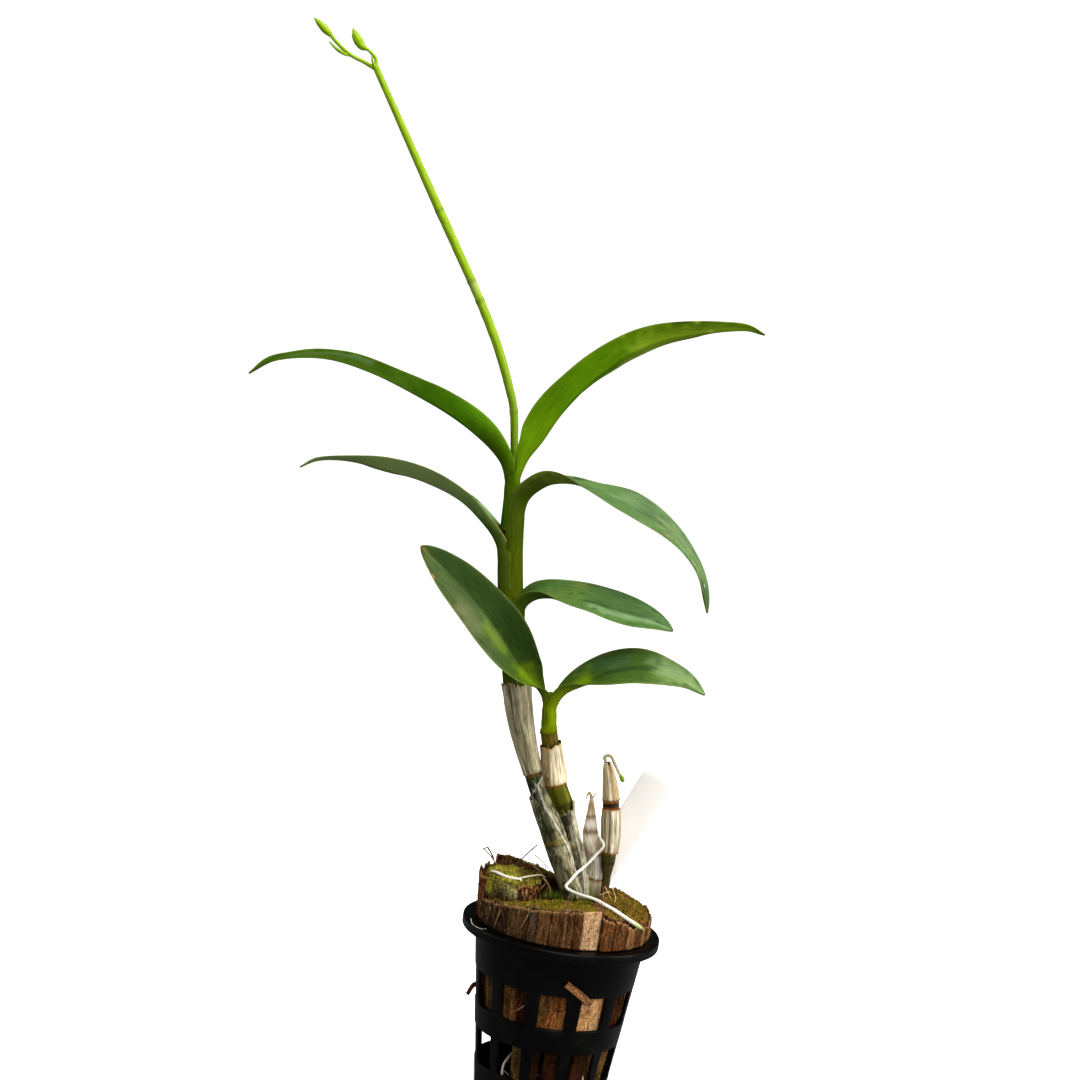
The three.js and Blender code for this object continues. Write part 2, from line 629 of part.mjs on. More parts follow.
const leaves = {
  top_left: {
    cane: 'main', clasp: [269, 277], claspRadius: 3.6, bearing: 190,
    free: [[-56.4, -5, 284.7], [-65.1, -7, 292.7], [-78.3, -10, 300.9], [-95.4, -13, 308.4],
      [-117.3, -16, 315.9], [-137.6, -20, 319.1], [-157.5, -24, 315.6], [-168.2, -27, 307.8]],
    widths: [9.7, 10.2, 10.6, 12.1, 14.1, 16.8],
    roll: [0, -5, -2, 1, -2, -2, -6],
    fold: [3, 39, 52, 38, 30, 18, 20],
    curl: [CLASP_ARC, 50, 14, 8, 6, 4, 4],
  },
  top_right: {
    cane: 'main', clasp: [271, 280], claspRadius: 2.4, bearing: -5,
    free: [[-44.1, -2, 287.4], [-39.4, 0, 295.4], [-31.1, 4, 311.2], [-17, 8, 329.3],
      [0.4, 12, 344.1], [18.9, 14, 352.2], [42.5, 15, 358], [53.7, 15, 357]],
    widths: [12.8, 12.1, 12.2, 12.1, 11.1, 9.9],
    roll: [0, 33, 38, 39, 36, 29, 29],
    fold: [3, 47, 38, 27, 18, 18, 14],
    curl: [CLASP_ARC, 50, 14, 8, 6, 4, 4],
  },
  second_left: {
    cane: 'main', clasp: [229.4, 242], claspRadius: 5.15, bearing: 185,
    free: [[-53.1, -4, 248.1], [-58.5, -6, 255.2], [-70.9, -9, 265.3], [-87.5, -14, 271.6],
      [-105.5, -19, 274.7], [-121, -23, 276.6], [-133.7, -26, 275.2], [-141, -28, 270.9]],
    widths: [7, 8.8, 11.3, 12.6, 12.8, 13.6],
    roll: [0, 11, -5, -21, -24, -7, -5],
    fold: [3, 24, 26, 17, 12, 7, 9],
    curl: [CLASP_ARC, 50, 14, 8, 6, 4, 4],
  },
  second_right: {
    cane: 'main', clasp: [254.6, 264], claspRadius: 4.55, bearing: -30,
    free: [[-42.2, -7.4, 269.1], [-38.5, -10.4, 273.9], [-31, -16, 278.9], [-19.6, -21, 279.9],
      [-1.7, -27, 275.4], [17.4, -31, 266.9], [33.7, -34, 252.6], [41.4, -36, 233.5]],
    widths: [8.3, 8.3, 9.3, 8.1, 6.3, 10.2],
    roll: [0, 8, -8, -34, -33, -20, -9],
    fold: [3, 12, 2, 12, 21, 26, 44],
    curl: [CLASP_ARC, 50, 14, 8, 6, 6, 6],
  },
  third_right: {
    cane: 'main', clasp: [206.4, 218], claspRadius: 5.4, bearing: -10,
    free: [[-35.9, -5.6, 222.4], [-31.1, -7, 226.7], [-22.1, -9, 228.3], [-8.5, -12, 228.7],
      [6.5, -15, 226.5], [20.2, -18, 224.8], [29.3, -20, 222]],
    widths: [9.1, 10.4, 12.1, 13.9, 14.1, 12.9],
    roll: [0, -3, -20, -29, -38, -41, -35],
    fold: [3, 18, 16, 11, 10, 9, 9],
    curl: [CLASP_ARC, 50, 14, 8, 6, 4, 4],
  },
  short_left: {
    cane: 'short', clasp: [174, 181], claspRadius: 2, bearing: 205,
    free: [[-25.2, -12.4, 186.5], [-35.1, -19, 197], [-48.6, -26, 214.3], [-62.5, -31, 227.9],
      [-74.6, -34, 238], [-84.1, -36, 245]],
    widths: [9.6, 14, 14.9, 16, 15.6],
    roll: [0, 70, 86, 86, 86, 84],
    fold: [3, 19, 19, 9, 7, 8],
    curl: [CLASP_ARC, 40, 14, 8, 6, 4],
  },
  short_right: {
    cane: 'short', clasp: [172.4, 180], claspRadius: 3.4, bearing: -15,
    free: [[-13.3, -11.4, 186.6], [-5.4, -14, 192.3], [6.8, -18, 199.7], [20.4, -22, 203.5],
      [36.3, -25, 202.1], [46.6, -27, 196.9]],
    widths: [10.7, 12.8, 13.2, 11.4, 8.8],
    roll: [0, -20, -36, -44, -44, -45],
    fold: [3, 14, 13, 12, 7, 10],
    curl: [CLASP_ARC, 40, 14, 8, 6, 4],
  },
};

function addLeaves() {
  for (const [name, leaf] of Object.entries(leaves)) {
    addPiece(`leaf_${name}`, leafBody(leaf), leafGreen);
  }
}

// ---------------------------------------------------------------- flower spike

const spikePath = [[-49.2, -3.6, 279.4], [-51, -2.6, 290], [-53, -2, 307], [-58, -2, 318],
  [-64, -2, 333], [-71, -2, 346], [-79, -2, 360], [-91, -1, 378], [-101, -1, 395], [-111, 0, 410],
  [-119, 0, 424], [-127, 0, 436], [-134.5, 0, 448.5]];

function flowerSpike() {
  const stalk = strand(spikePath, [[0, 1.4], [0.14, 1.9], [0.15, 1.5], [0.6, 1.35], [1, 1.2]], 26, 7);
  const upFirst = new THREE.Vector3(0, 1, 0);
  const parts = [
    // left branch, ending in a cluster of small buds
    strand([[-133, 0, 447], [-140, 0, 450], [-146, -1, 452], [-152, -1, 456], [-156.5, -2, 460]],
      [[0, 1], [1, 0.8]], 8, 7, upFirst),
    strand([[-155, -2, 458.6], [-158, -2, 461], [-161, -2, 463.4], [-163.6, -2.4, 465.4]],
      [[0, 0.7], [0.35, 1.7], [0.75, 1.5], [1, 0.3]], 7, 8, upFirst),
    // small slender bud beside it
    strand([[-146.5, -1, 451.6], [-149, -2, 452], [-152.4, -3, 453.6], [-155.6, -3.4, 456]],
      [[0, 0.5], [0.5, 0.8], [1, 0.3]], 5, 6, upFirst),
    // right pedicel with its oval bud
    strand([[-134, 0, 447.4], [-135, 1, 452], [-138, 1, 455], [-140.4, 2, 456.2]],
      [[0, 0.8], [1, 0.7]], 6, 7, upFirst),
    strand([[-139.6, 1.8, 455.8], [-142, 2, 457], [-144.6, 2, 460], [-146.8, 2, 464]],
      [[0, 0.7], [0.4, 2.1], [0.7, 1.9], [1, 0.3]], 8, 8, upFirst),
    // bract at the fork
    strand([[-134.6, -0.4, 448], [-136, -1.2, 450.6], [-136.6, -1.4, 452.6]],
      [[0, 0.9], [1, 0.3]], 3, 6, upFirst),
  ];
  return toGeometry(parts.reduce((joined, part) => joined.add(toSolid(part)), toSolid(stalk)));
}

// Dried stalk that curls over the old cane's top, with one green bud.
function driedStalk() {
  const wire = strand([[9.6, 3, 156.4], [8.8, 3, 158], [10, 3, 159], [11.6, 3, 158.8], [13, 3, 157],
    [15, 3, 153.6], [17, 3, 150.6]], [[0, 0.8], [1, 0.6]], 12, 6, new THREE.Vector3(0, 1, 0));
  const bud = strand([[16.6, 3, 151.2], [17.4, 3, 150.2], [18.2, 3, 149], [18.8, 3, 148]],
    [[0, 0.6], [0.5, 1.1], [1, 0.5]], 4, 7, new THREE.Vector3(0, 1, 0));
  return toGeometry(toSolid(wire).add(toSolid(bud)));
}

// ---------------------------------------------------------------- roots and label

const roots = {
  front: {
    path: [[10.8, 2, 122], [12, -1.6, 121.6], [13.6, -3.2, 119], [11, -4, 115], [7, -6.4, 110],
      [3, -10, 106.6], [0.6, -12.4, 103.4], [-1, -13.4, 101], [1, -14, 99.6], [5, -17, 99.2],
      [12, -22, 99.2], [15.6, -25, 98.6], [20, -26.2, 97.2], [26, -27, 94.4], [31, -26.4, 92],
      [34.4, -25, 90]],
    radii: [[0, 0.8], [0.5, 0.9], [0.9, 1.1], [1, 0.7]],
    steps: 40,
  },
  left: {
    path: [[-34, -8, 104.8], [-31, -9.4, 104.8], [-27, -11.4, 102.6], [-21, -12.4, 100.4],
      [-16, -11.6, 98.4]],
    radii: [[0, 0.5], [0.3, 0.8], [1, 0.6]],
    steps: 12,
  },
  inner_left: {
    path: [[-10, -9.4, 30], [-13, -12.4, 24], [-17.4, -15.6, 17], [-17, -17, 10], [-15, -15, 3.6]],
    radii: [[0, 0.6], [1, 0.5]],
    steps: 12,
  },
  inner_right: {
    path: [[11, -8, 30], [15, -11, 22], [18.8, -13.4, 14], [18, -13.6, 8], [16, -11.6, 3.6]],
    radii: [[0, 0.6], [1, 0.5]],
    steps: 12,
  },
};

function addRoots() {
  const firstSide = new THREE.Vector3(0, 0, 1);
  for (const [name, { path, radii, steps }] of Object.entries(roots)) {
    addPiece(`root_${name}`, strand(path, radii, steps, 6, firstSide), rootWhite);
  }
}

// Thin tag with rounded top corners, pushed down between the husk blocks.
function plantLabel() {
  const half = LABEL.width / 2;
  const r = LABEL.corner;
  const outline = new THREE.Shape();
  outline.moveTo(-half, -LABEL.length + LABEL.point);
  outline.lineTo(0, -LABEL.length);
  outline.lineTo(half, -LABEL.length + LABEL.point);
  outline.lineTo(half, -r);
  outline.absarc(half - r, -r, r, 0, Math.PI / 2, false);
  outline.lineTo(-half + r, 0);
  outline.absarc(-half + r, -r, r, Math.PI / 2, Math.PI, false);
  const settings = { depth: LABEL.thickness, bevelEnabled: false, curveSegments: 3 };
  const tag = new THREE.ExtrudeGeometry(outline, settings);
  tag.translate(0, 0, -LABEL.thickness / 2);
  tag.rotateX(Math.PI / 2);
  tag.rotateY(radians(LABEL.lean));
  tag.translate(...LABEL.top);
  return tag;
}

// ---------------------------------------------------------------- assembly

addPiece('net_pot', netPot(), plasticBlack);
addLowerHusk();
addUpperHusk();
addPiece('rhizome', rhizome(), caneTan);
addCanes();
addPiece('dried_stalk', driedStalk(), caneTan);
addLeaves();
addPiece('flower_spike', flowerSpike(), spikeGreen);
addRoots();
addPiece('plant_label', plantLabel(), labelWhite);

export default orchid;
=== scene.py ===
# %% [markdown]
# # A dendrobium orchid in its net pot
#
# A young dendrobium grows in cut chunks of coconut husk, in a small black net pot. It has one tall
# leafy cane with a flower spike, a short leafy cane in front of it, and the dry stumps of two old
# ones. The model that is loaded here holds the plain solids at their real size. Each of them is
# now dressed: the same curves and radii are worked out again on finer grids, with veins, torn
# paper, fibres and moss added. All the sizes below are in millimetres.

import itertools
import math

import bpy
import numpy as np
from mathutils import Matrix


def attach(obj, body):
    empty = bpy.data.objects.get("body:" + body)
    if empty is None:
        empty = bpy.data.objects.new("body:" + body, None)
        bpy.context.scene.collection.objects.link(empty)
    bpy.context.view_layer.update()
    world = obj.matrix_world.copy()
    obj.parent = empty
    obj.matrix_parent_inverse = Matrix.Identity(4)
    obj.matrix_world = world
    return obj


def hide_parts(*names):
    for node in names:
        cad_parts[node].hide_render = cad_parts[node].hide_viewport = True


MM = 0.001  # Blender works in metres

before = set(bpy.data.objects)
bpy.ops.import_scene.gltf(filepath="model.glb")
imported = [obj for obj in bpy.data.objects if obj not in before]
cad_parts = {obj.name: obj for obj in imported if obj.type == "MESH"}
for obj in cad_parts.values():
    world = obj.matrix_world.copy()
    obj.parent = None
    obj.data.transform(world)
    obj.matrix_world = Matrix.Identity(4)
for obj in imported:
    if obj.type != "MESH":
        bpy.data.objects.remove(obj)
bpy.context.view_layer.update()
print("solids in the model:", len(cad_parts))

# %% [markdown]
# ## Camera
#
# The camera looks slightly down and is turned about its own axis, so that the plant seems to lean.
# A camera's matrix has its right, its up and its backward direction as columns, so it is easier to
# build those three from two angles than to guess Euler angles.

# %% Camera
CAMERA = {"target": (-33.97, 12.86, 251.0), "distance": 850, "pitch": 4.3, "roll": 8,
          "lens": 62.33}


def facing(right, up, backward, place):
    """Matrix of a camera or a lamp, with its three directions and its place in mm as columns."""
    rows = [[right[k], up[k], backward[k], place[k] * MM] for k in range(3)]
    return Matrix(rows + [[0, 0, 0, 1]])


def aim_camera(target, distance, pitch, roll, lens):
    """Right and up are the level directions turned by the roll; the camera stands `distance`
    behind the target along the direction in which it looks."""
    down, lean = math.radians(pitch), math.radians(roll)
    forward = np.array([0, math.cos(down), -math.sin(down)])
    level = np.array([1.0, 0, 0])
    upright = np.cross(level, forward)
    right = level * math.cos(lean) + upright * math.sin(lean)
    up = upright * math.cos(lean) - level * math.sin(lean)
    camera = bpy.data.objects.new("camera", bpy.data.cameras.new("camera"))
    camera.data.lens = lens
    camera.matrix_world = facing(right, up, -forward, np.array(target) - forward * distance)
    bpy.context.collection.objects.link(camera)
    bpy.context.scene.camera = camera
    return camera


camera = aim_camera(**CAMERA)
print("camera at", [round(x, 3) for x in camera.matrix_world.translation])

# %% [markdown]
# ## Numbers that make natural shapes
#
# Nothing on a plant is quite even. One smooth noise function does most of that work: it has a
# fixed random value at each corner of a lattice and blends between them, so that the same point
# always gets the same value. Its cells can be long in one direction, which turns the noise into
# fibres. Next to it stands a spline: canes, roots, leaf widths and twists are all made of it.


# %% Points
def stack(*parts):
    """Numbers or arrays brought to one shape and put side by side: a grid of points."""
    return np.stack(np.broadcast_arrays(*parts), -1)


def turned(radius, height, angle):
    """Points at a radius from the z axis and at a height, turned round the axis by an angle."""
    return stack(radius * np.cos(angle), radius * np.sin(angle), height)


def unit(vectors):
    """Vectors divided by their length."""
    return vectors / np.maximum(np.linalg.norm(vectors, axis=-1, keepdims=True), 1e-9)


def lengths(points):
    """Distance run along a row of points, from 0."""
    steps = np.linalg.norm(np.diff(points, axis=0), axis=1)
    return np.concatenate([[0], np.cumsum(steps)])


def sample(values, at, where):
    """Rows of `values` known at the rising numbers `at`, read between them at `where`."""
    return np.stack([np.interp(where, at, column) for column in np.asarray(values).T], -1)


print("a quarter turn at radius 2:", turned(2, 0, math.pi / 2).round(3))


# %% Noise
def lattice(cell, seed):
    """A fixed random number in -1..1 for each whole-number cell, mixed from its three indices."""
    key = (cell * np.array([73856093, 19349663, 83492791])).sum(-1) + seed * 60493
    key = ((key ^ (key >> 13)) * 1274126177) & 0xFFFFFFFF
    key = ((key ^ (key >> 16)) * 668265263) & 0xFFFFFFFF
    return (key ^ (key >> 15)) / 2.0**31 - 1


def noise(points, size, seed=0):
    """Smooth noise in about -1..1. The points are divided by `size`, one number or one for each
    axis, and the eight corners of their cell are blended with weights 3t^2 - 2t^3."""
    scaled = np.asarray(points, float) / size
    cell = np.floor(scaled).astype(np.int64)
    part = scaled - cell
    part = part * part * (3 - 2 * part)
    total = 0
    for corner in itertools.product((0, 1), repeat=3):
        weight = np.where(corner, part, 1 - part).prod(-1)
        total = total + weight * lattice(cell + np.array(corner), seed)
    return total


def fractal(points, size, seed=0, octaves=3):
    """Noise plus half as much noise of half the size, and so on."""
    return sum(noise(points, np.asarray(size) / 2**k, seed + k) / 2**k for k in range(octaves))


def smooth(x, low, high):
    """0 below low, 1 above high and 3t^2 - 2t^3 between them."""
    t = np.clip((x - low) / (high - low), 0, 1)
    return t * t * (3 - 2 * t)


def bump(x, middle, width):
    """A bell: exp(-((x - middle) / width)^2)."""
    return np.exp(-(((x - middle) / width) ** 2))


print("noise at the origin:", round(float(noise(np.zeros(3), 1.0)), 3))


# %% Splines
def catmull_rom(a, b, c, d, f):
    """Value at the share f of the way from b to c, with a before them and d after."""
    curve = (2 * a - 5 * b + 4 * c - d) * f**2 + (3 * b - a - 3 * c + d) * f**3
    return (2 * b + (c - a) * f + curve) / 2


def blend(stations, t):
    """Catmull-Rom spline through evenly spaced values, at t in 0..1, with its ends held."""
    values = np.asarray(stations, float)
    last = len(values) - 1
    x = np.clip(t, 0, 1) * last
    i = np.minimum(x.astype(int), last - 1)
    return catmull_rom(*(values[np.clip(i + k, 0, last)] for k in (-1, 0, 1, 2)), x - i)


def spline(path, per_span=24):
    """Catmull-Rom curve through the points of a path, with an extra point mirrored past each
    end: the points of the curve, `per_span` for each span."""
    p = np.asarray(path, float)
    p = np.vstack([2 * p[0] - p[1], p, 2 * p[-1] - p[-2]])
    spans = len(p) - 3
    t = np.linspace(0, spans, spans * per_span + 1)
    i = np.minimum(t.astype(int), spans - 1)
    return catmull_rom(*(p[i + k] for k in range(4)), (t - i)[:, None])


print("middle of a spline through 0, 1, 0:", float(blend([0, 1, 0], 0.5)))

# %% [markdown]
# ## Meshes from grids
#
# Nearly everything here is a grid of points: rows along a stem or a leaf and columns round or
# across it. `tube` closes such a grid at its two ends, `slab` makes a thin body from an upper and a
# lower sheet. Besides its points, a shape carries two layers that the materials read: `tint`, a
# colour for each point, and `lay`, the distance along and across the piece, which a vein or a
# fibre follows however the piece bends.


# %% Closed shapes
def shape(points, quads, tris, tint, lay):
    """A mesh as arrays, its faces turned outwards if its signed volume is negative."""
    fans = np.concatenate([quads[:, [0, 1, 2]], quads[:, [0, 2, 3]], tris])
    a, b, c = (points[fans[:, k]] for k in range(3))
    if (a * np.cross(b, c)).sum() < 0:
        quads, tris = quads[:, ::-1], tris[:, ::-1]
    return {"points": points, "quads": quads, "tris": tris, "tint": tint, "lay": lay}


def spread(value, like):
    """A colour or vector given once, repeated for each point of a grid."""
    return np.broadcast_to(np.asarray(value, float), like.shape).copy()


def faces_round(rows, columns, ring=False):
    """Four corner numbers for each face of a grid whose columns close on themselves. With `ring`
    its rows do too."""
    i, j = np.meshgrid(np.arange(rows - (not ring)), np.arange(columns), indexing="ij")
    k, below = (j + 1) % columns, (i + 1) % rows
    return stack(i * columns + j, i * columns + k, below * columns + k, below * columns + j)


def tube(grid, tint=(1, 1, 1), lay=(0, 0, 0), ring=False):
    """Skin over a grid whose columns close on themselves. With `ring` its rows do too; otherwise
    triangles close each end on a pole at the mean of its row."""
    rows, columns = grid.shape[:2]
    layers = [grid, spread(tint, grid), spread(lay, grid)]
    flat = [layer.reshape(-1, 3) for layer in layers]
    tris = np.zeros((0, 3), int)
    if not ring:
        ends = [np.vstack([layer[0].mean(0), layer[-1].mean(0)]) for layer in layers]
        flat = [np.vstack([whole, end]) for whole, end in zip(flat, ends)]
        near, pole = np.arange(columns), rows * columns
        far = near + (rows - 1) * columns
        tris = np.vstack([stack(np.roll(near, -1), near, pole),
                          stack(far, np.roll(far, -1), pole + 1)])
    return shape(flat[0], faces_round(rows, columns, ring).reshape(-1, 4), tris, flat[1], flat[2])


def slab(upper, lower, tint=(1, 1, 1), lay=(0, 0, 0), under_tint=None, under_lay=None):
    """Thin body between two sheets with equal grids, closed round all four edges."""
    rows, columns = upper.shape[:2]
    count = rows * columns
    number = np.arange(count).reshape(rows, columns)
    top = stack(number[:-1, :-1], number[1:, :-1], number[1:, 1:], number[:-1, 1:]).reshape(-1, 4)
    edge = np.concatenate([number[:, 0], number[-1, 1:], number[-2::-1, -1], number[0, -2:0:-1]])
    ahead = np.roll(edge, -1)
    quads = np.vstack([top, top[:, ::-1] + count, stack(ahead, edge, edge + count, ahead + count)])
    pairs = [(upper, lower), (tint, tint if under_tint is None else under_tint),
             (lay, lay if under_lay is None else under_lay)]
    flat = [np.vstack([spread(half, upper).reshape(-1, 3) for half in pair]) for pair in pairs]
    return shape(flat[0], quads, np.zeros((0, 3), int), flat[1], flat[2])


def join(shapes):
    """Several shapes in one, each one's faces counted on from the points before it."""
    shapes = list(shapes)
    starts = np.cumsum([0] + [len(one["points"]) for one in shapes[:-1]])
    joined = {key: np.vstack([one[key] for one in shapes]) for key in ("points", "tint", "lay")}
    for key in ("quads", "tris"):
        joined[key] = np.vstack([one[key] + start for one, start in zip(shapes, starts)])
    return joined


print("first face of a grid of two rows and three columns:", faces_round(2, 3)[0, 0])


# %% Pieces
def make_piece(name, made, material, nodes=()):
    """Puts a shape into a Blender mesh in metres, with its two layers, and ties it to the model:
    it rides on the one body there is and stands for the solids that it replaces."""
    mesh = bpy.data.meshes.new(name)
    faces = made["quads"].tolist() + made["tris"].tolist()
    mesh.from_pydata((made["points"] * MM).tolist(), [], faces)
    tint = mesh.attributes.new("tint", "FLOAT_COLOR", "POINT")
    opaque = np.hstack([made["tint"], np.ones((len(made["tint"]), 1))])
    tint.data.foreach_set("color", opaque.astype(np.float32).ravel())
    lay = mesh.attributes.new("lay", "FLOAT_VECTOR", "POINT")
    lay.data.foreach_set("vector", (made["lay"] * MM).astype(np.float32).ravel())
    mesh.shade_smooth()
    mesh.materials.append(material)
    piece = bpy.data.objects.new(name, mesh)
    bpy.context.collection.objects.link(piece)
    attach(piece, "root")
    if nodes:
        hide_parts(*nodes)
    print(f"{name}: {len(faces)} faces")
    return piece


# %% Strands
def carry_frames(points):
    """Two cross axes at each point of a curve. Each frame is the one before it, made square to
    the new direction, so that nothing twists."""
    ahead = unit(np.gradient(points, axis=0))
    sides = [np.cross(ahead[0], (0.3, 1.0, 0.2))]
    for direction in ahead:
        sides.append(unit(sides[-1] - sides[-1].dot(direction) * direction))
    sides = np.array(sides[1:])
    return sides, np.cross(ahead, sides)


def strand(path, radii, sides=10, step=0.8, knobs=0.0, seed=0, tint=(1, 1, 1)):
    """Round strand along a path. `radii` are [share of length, radius] pairs, and `knobs` is how
    much noise swells it, as a share of the radius. `tint` is a colour, or a function of the
    share of the length."""
    dense = spline(path)
    run = lengths(dense)
    where = np.linspace(0, run[-1], max(4, int(run[-1] / step)))
    points = sample(dense, run, where)[:, None]
    side, up = carry_frames(points[:, 0])
    shares, values = np.array(radii).T
    radius = np.interp(where / run[-1], shares, values)[:, None]
    turn = np.linspace(0, 2 * math.pi, sides, endpoint=False)
    ring = side[:, None] * np.cos(turn)[None, :, None] + up[:, None] * np.sin(turn)[None, :, None]
    swell = 1 + knobs * fractal(points + ring * radius[..., None], 2.2, seed)
    grid = points + ring * (radius * swell)[..., None]
    colour = tint(where / run[-1])[:, None] if callable(tint) else tint
    return tube(grid, colour, stack(where[:, None], turn * radius, 0.0))


def bristles(roots, ahead, length, radius, sag, tint, steps=2, taper=0.15):
    """Thin strands with three sides. A strand's middle is root + length (ahead s + sag s^2) for s
    from 0 to 1, and its radius falls from `radius` to `taper` times that."""
    count, s = len(roots), np.linspace(0, 1, steps + 1)[None, :, None]
    length = np.broadcast_to(length, count)[:, None, None]
    middle = roots[:, None] + length * (ahead[:, None] * s + sag[:, None] * s**2)
    side = unit(np.cross(ahead, (0.31, 0.17, 0.53)))
    up = np.cross(ahead, side)
    turn = np.arange(3) * 2 * math.pi / 3
    spokes = side[:, None] * np.cos(turn)[:, None] + up[:, None] * np.sin(turn)[:, None]
    width = np.broadcast_to(radius, count)[:, None, None] * (1 - (1 - taper) * s)
    grid = middle[:, :, None] + width[..., None] * spokes[:, None]
    caps = np.array([[2, 1, 0], [steps * 3, steps * 3 + 1, steps * 3 + 2]])
    starts = np.arange(count)[:, None, None] * (steps + 1) * 3
    quads = faces_round(steps + 1, 3).reshape(-1, 4) + starts
    colours = np.broadcast_to(tint[:, None, None], grid.shape).reshape(-1, 3)
    return shape(grid.reshape(-1, 3), quads.reshape(-1, 4), (caps + starts).reshape(-1, 3),
                 colours.copy(), np.zeros((grid.size // 3, 3)))


example = strand([[0, 0, 0], [0, 0, 8]], [[0, 1], [1, 1]])
print("a strand 8 mm long has", len(example["points"]), "points")


# %% [markdown]
# ## Colours and nodes
#
# Colours are written as they look on a screen, in sRGB hex, and Blender calculates with linear
# light, so one function turns the one into the other. All the materials are node trees, which one
# small function builds: it adds a node, sets its properties and fills or links its sockets.


# %% Colours and nodes
def linear(code):
    """Linear light from a colour such as "6b8e23": c / 12.92 where it is dark, and
    ((c + 0.055) / 1.055)^2.4 elsewhere. Linear light comes back as it is."""
    if not isinstance(code, str):
        return np.asarray(code)
    c = np.array([int(code[k : k + 2], 16) for k in (0, 2, 4)]) / 255
    return np.where(c <= 0.04045, c / 12.92, ((c + 0.055) / 1.055) ** 2.4)


def rgba(code):
    """The same with an alpha of 1, as a socket takes it."""
    return (*linear(code), 1.0)


def mix(one, two, share):
    """Colour between two, for an array of shares."""
    share = np.asarray(share)[..., None]
    return linear(one) * (1 - share) + linear(two) * share


def paint(tint, *coats):
    """Lays coats over a colour, one after the other. Each is a colour code, or a factor of the
    colour below it, and the share that it covers."""
    for coat, share in coats:
        tint = mix(tint, coat if isinstance(coat, str) else tint * coat, share)
    return tint


def palette_draw(colours, count, random):
    """A random colour for each of `count` bristles, between the colours of a list."""
    table = np.array([linear(code) for code in colours])
    place = random.uniform(0, len(colours) - 1, count)
    low = np.minimum(place.astype(int), len(colours) - 2)
    return mix(table[low], table[low + 1], place - low)


print("mid green in linear light:", linear("4f8a2c").round(3))


# %% Nodes
def add(tree, kind, sockets=None, stops=None, **settings):
    """Adds a shader node. `sockets` gives each input, by name or number, a value or a link from
    another node's output, and `stops` are a colour ramp's [place, colour] pairs."""
    node = tree.nodes.new("ShaderNode" + kind)
    for name, value in settings.items():
        setattr(node, name, value)
    for name, value in (sockets or {}).items():
        if isinstance(value, bpy.types.NodeSocket):
            tree.links.new(value, node.inputs[name])
        else:
            node.inputs[name].default_value = value
    for k, (place, code) in enumerate(stops or []):
        ramp = node.color_ramp.elements
        element = ramp[k] if k < len(ramp) else ramp.new(place)
        element.position, element.color = place, rgba(code)
    return node


def new_material(name, **surface):
    """A material with one Principled surface, whose plain numbers are set on its own sockets."""
    material = bpy.data.materials.new(name)
    material.use_nodes = True
    tree = material.node_tree
    shader = tree.nodes["Principled BSDF"]
    for socket, value in surface.items():
        shader.inputs[socket.replace("_", " ")].default_value = value
    return material, tree, shader


def per(size):
    """Texture scale, in cells to the metre, for a feature of that many millimetres."""
    return 1 / (size * MM)


print("cells to the metre for a grain of 0.5 mm:", per(0.5))

# %% [markdown]
# ## Floor and light
#
# The floor is a shallow bowl: flat under the pot, and turning up into a wall all round far away, so
# that no horizon shows from any side. Large soft lamps and a white sky give gentle shadows.

# %% Floor and light
STUDIO = {"flat": 2600, "bend": 1600, "wall": 2500}


def studio_bowl(flat, bend, wall):
    """A profile turned round the z axis: straight out, a quarter circle up, straight up."""
    turn = np.linspace(0, math.pi / 2, 13)[1:]
    radius = np.concatenate([[1], np.linspace(200, flat, 6), flat + bend * np.sin(turn)])
    height = np.concatenate([np.zeros(7), bend * (1 - np.cos(turn))])
    radius, height = np.append(radius, radius[-1]), np.append(height, height[-1] + wall)
    angle = np.linspace(0, 2 * math.pi, 96, endpoint=False)
    grid = turned(radius[:, None], height[:, None], angle)
    quads = faces_round(*grid.shape[:2]).reshape(-1, 4)
    mesh = bpy.data.meshes.new("studio")
    faces = quads[:, ::-1].tolist() + [list(range(len(angle)))]
    mesh.from_pydata((grid.reshape(-1, 3) * MM).tolist(), [], faces)
    mesh.shade_smooth()
    studio = bpy.data.objects.new("studio", mesh)
    bpy.context.collection.objects.link(studio)
    return studio


print("the floor turns up", STUDIO["flat"], "mm from the pot")


# %% Studio paper and lamps
# Matt studio paper: no gloss, so nothing mirrors in it. To the camera it is white and glows a
# little; to the light that reaches the plant it is a mid grey, so that blacks stay black.
paper, tree, shader = new_material("studio_paper", Roughness=1.0, Emission_Color=rgba("ffffff"))
seen = add(tree, "LightPath").outputs["Is Camera Ray"]
glow = add(tree, "Math", {0: seen, 1: 0.66}, operation="MULTIPLY")
shade = add(tree, "MixRGB", {"Fac": seen, "Color1": rgba("7c7c7c"), "Color2": rgba("f2f2f2")})
tree.links.new(glow.outputs[0], shader.inputs["Emission Strength"])
tree.links.new(shade.outputs["Color"], shader.inputs["Base Color"])
studio_bowl(**STUDIO).data.materials.append(paper)


def soft_lamp(name, place, size, power):
    """A rectangular area lamp, its width and height in metres, that looks at the plant."""
    lamp = bpy.data.objects.new(name, bpy.data.lights.new(name, "AREA"))
    lamp.data.shape, lamp.data.energy = "RECTANGLE", power
    lamp.data.size, lamp.data.size_y = size
    backward = unit(np.array(place) - np.array([0, 0, 230.0]))
    right = unit(np.cross((0, 0, 1), backward))
    lamp.matrix_world = facing(right, np.cross(backward, right), backward, place)
    lamp.visible_camera = False
    bpy.context.collection.objects.link(lamp)


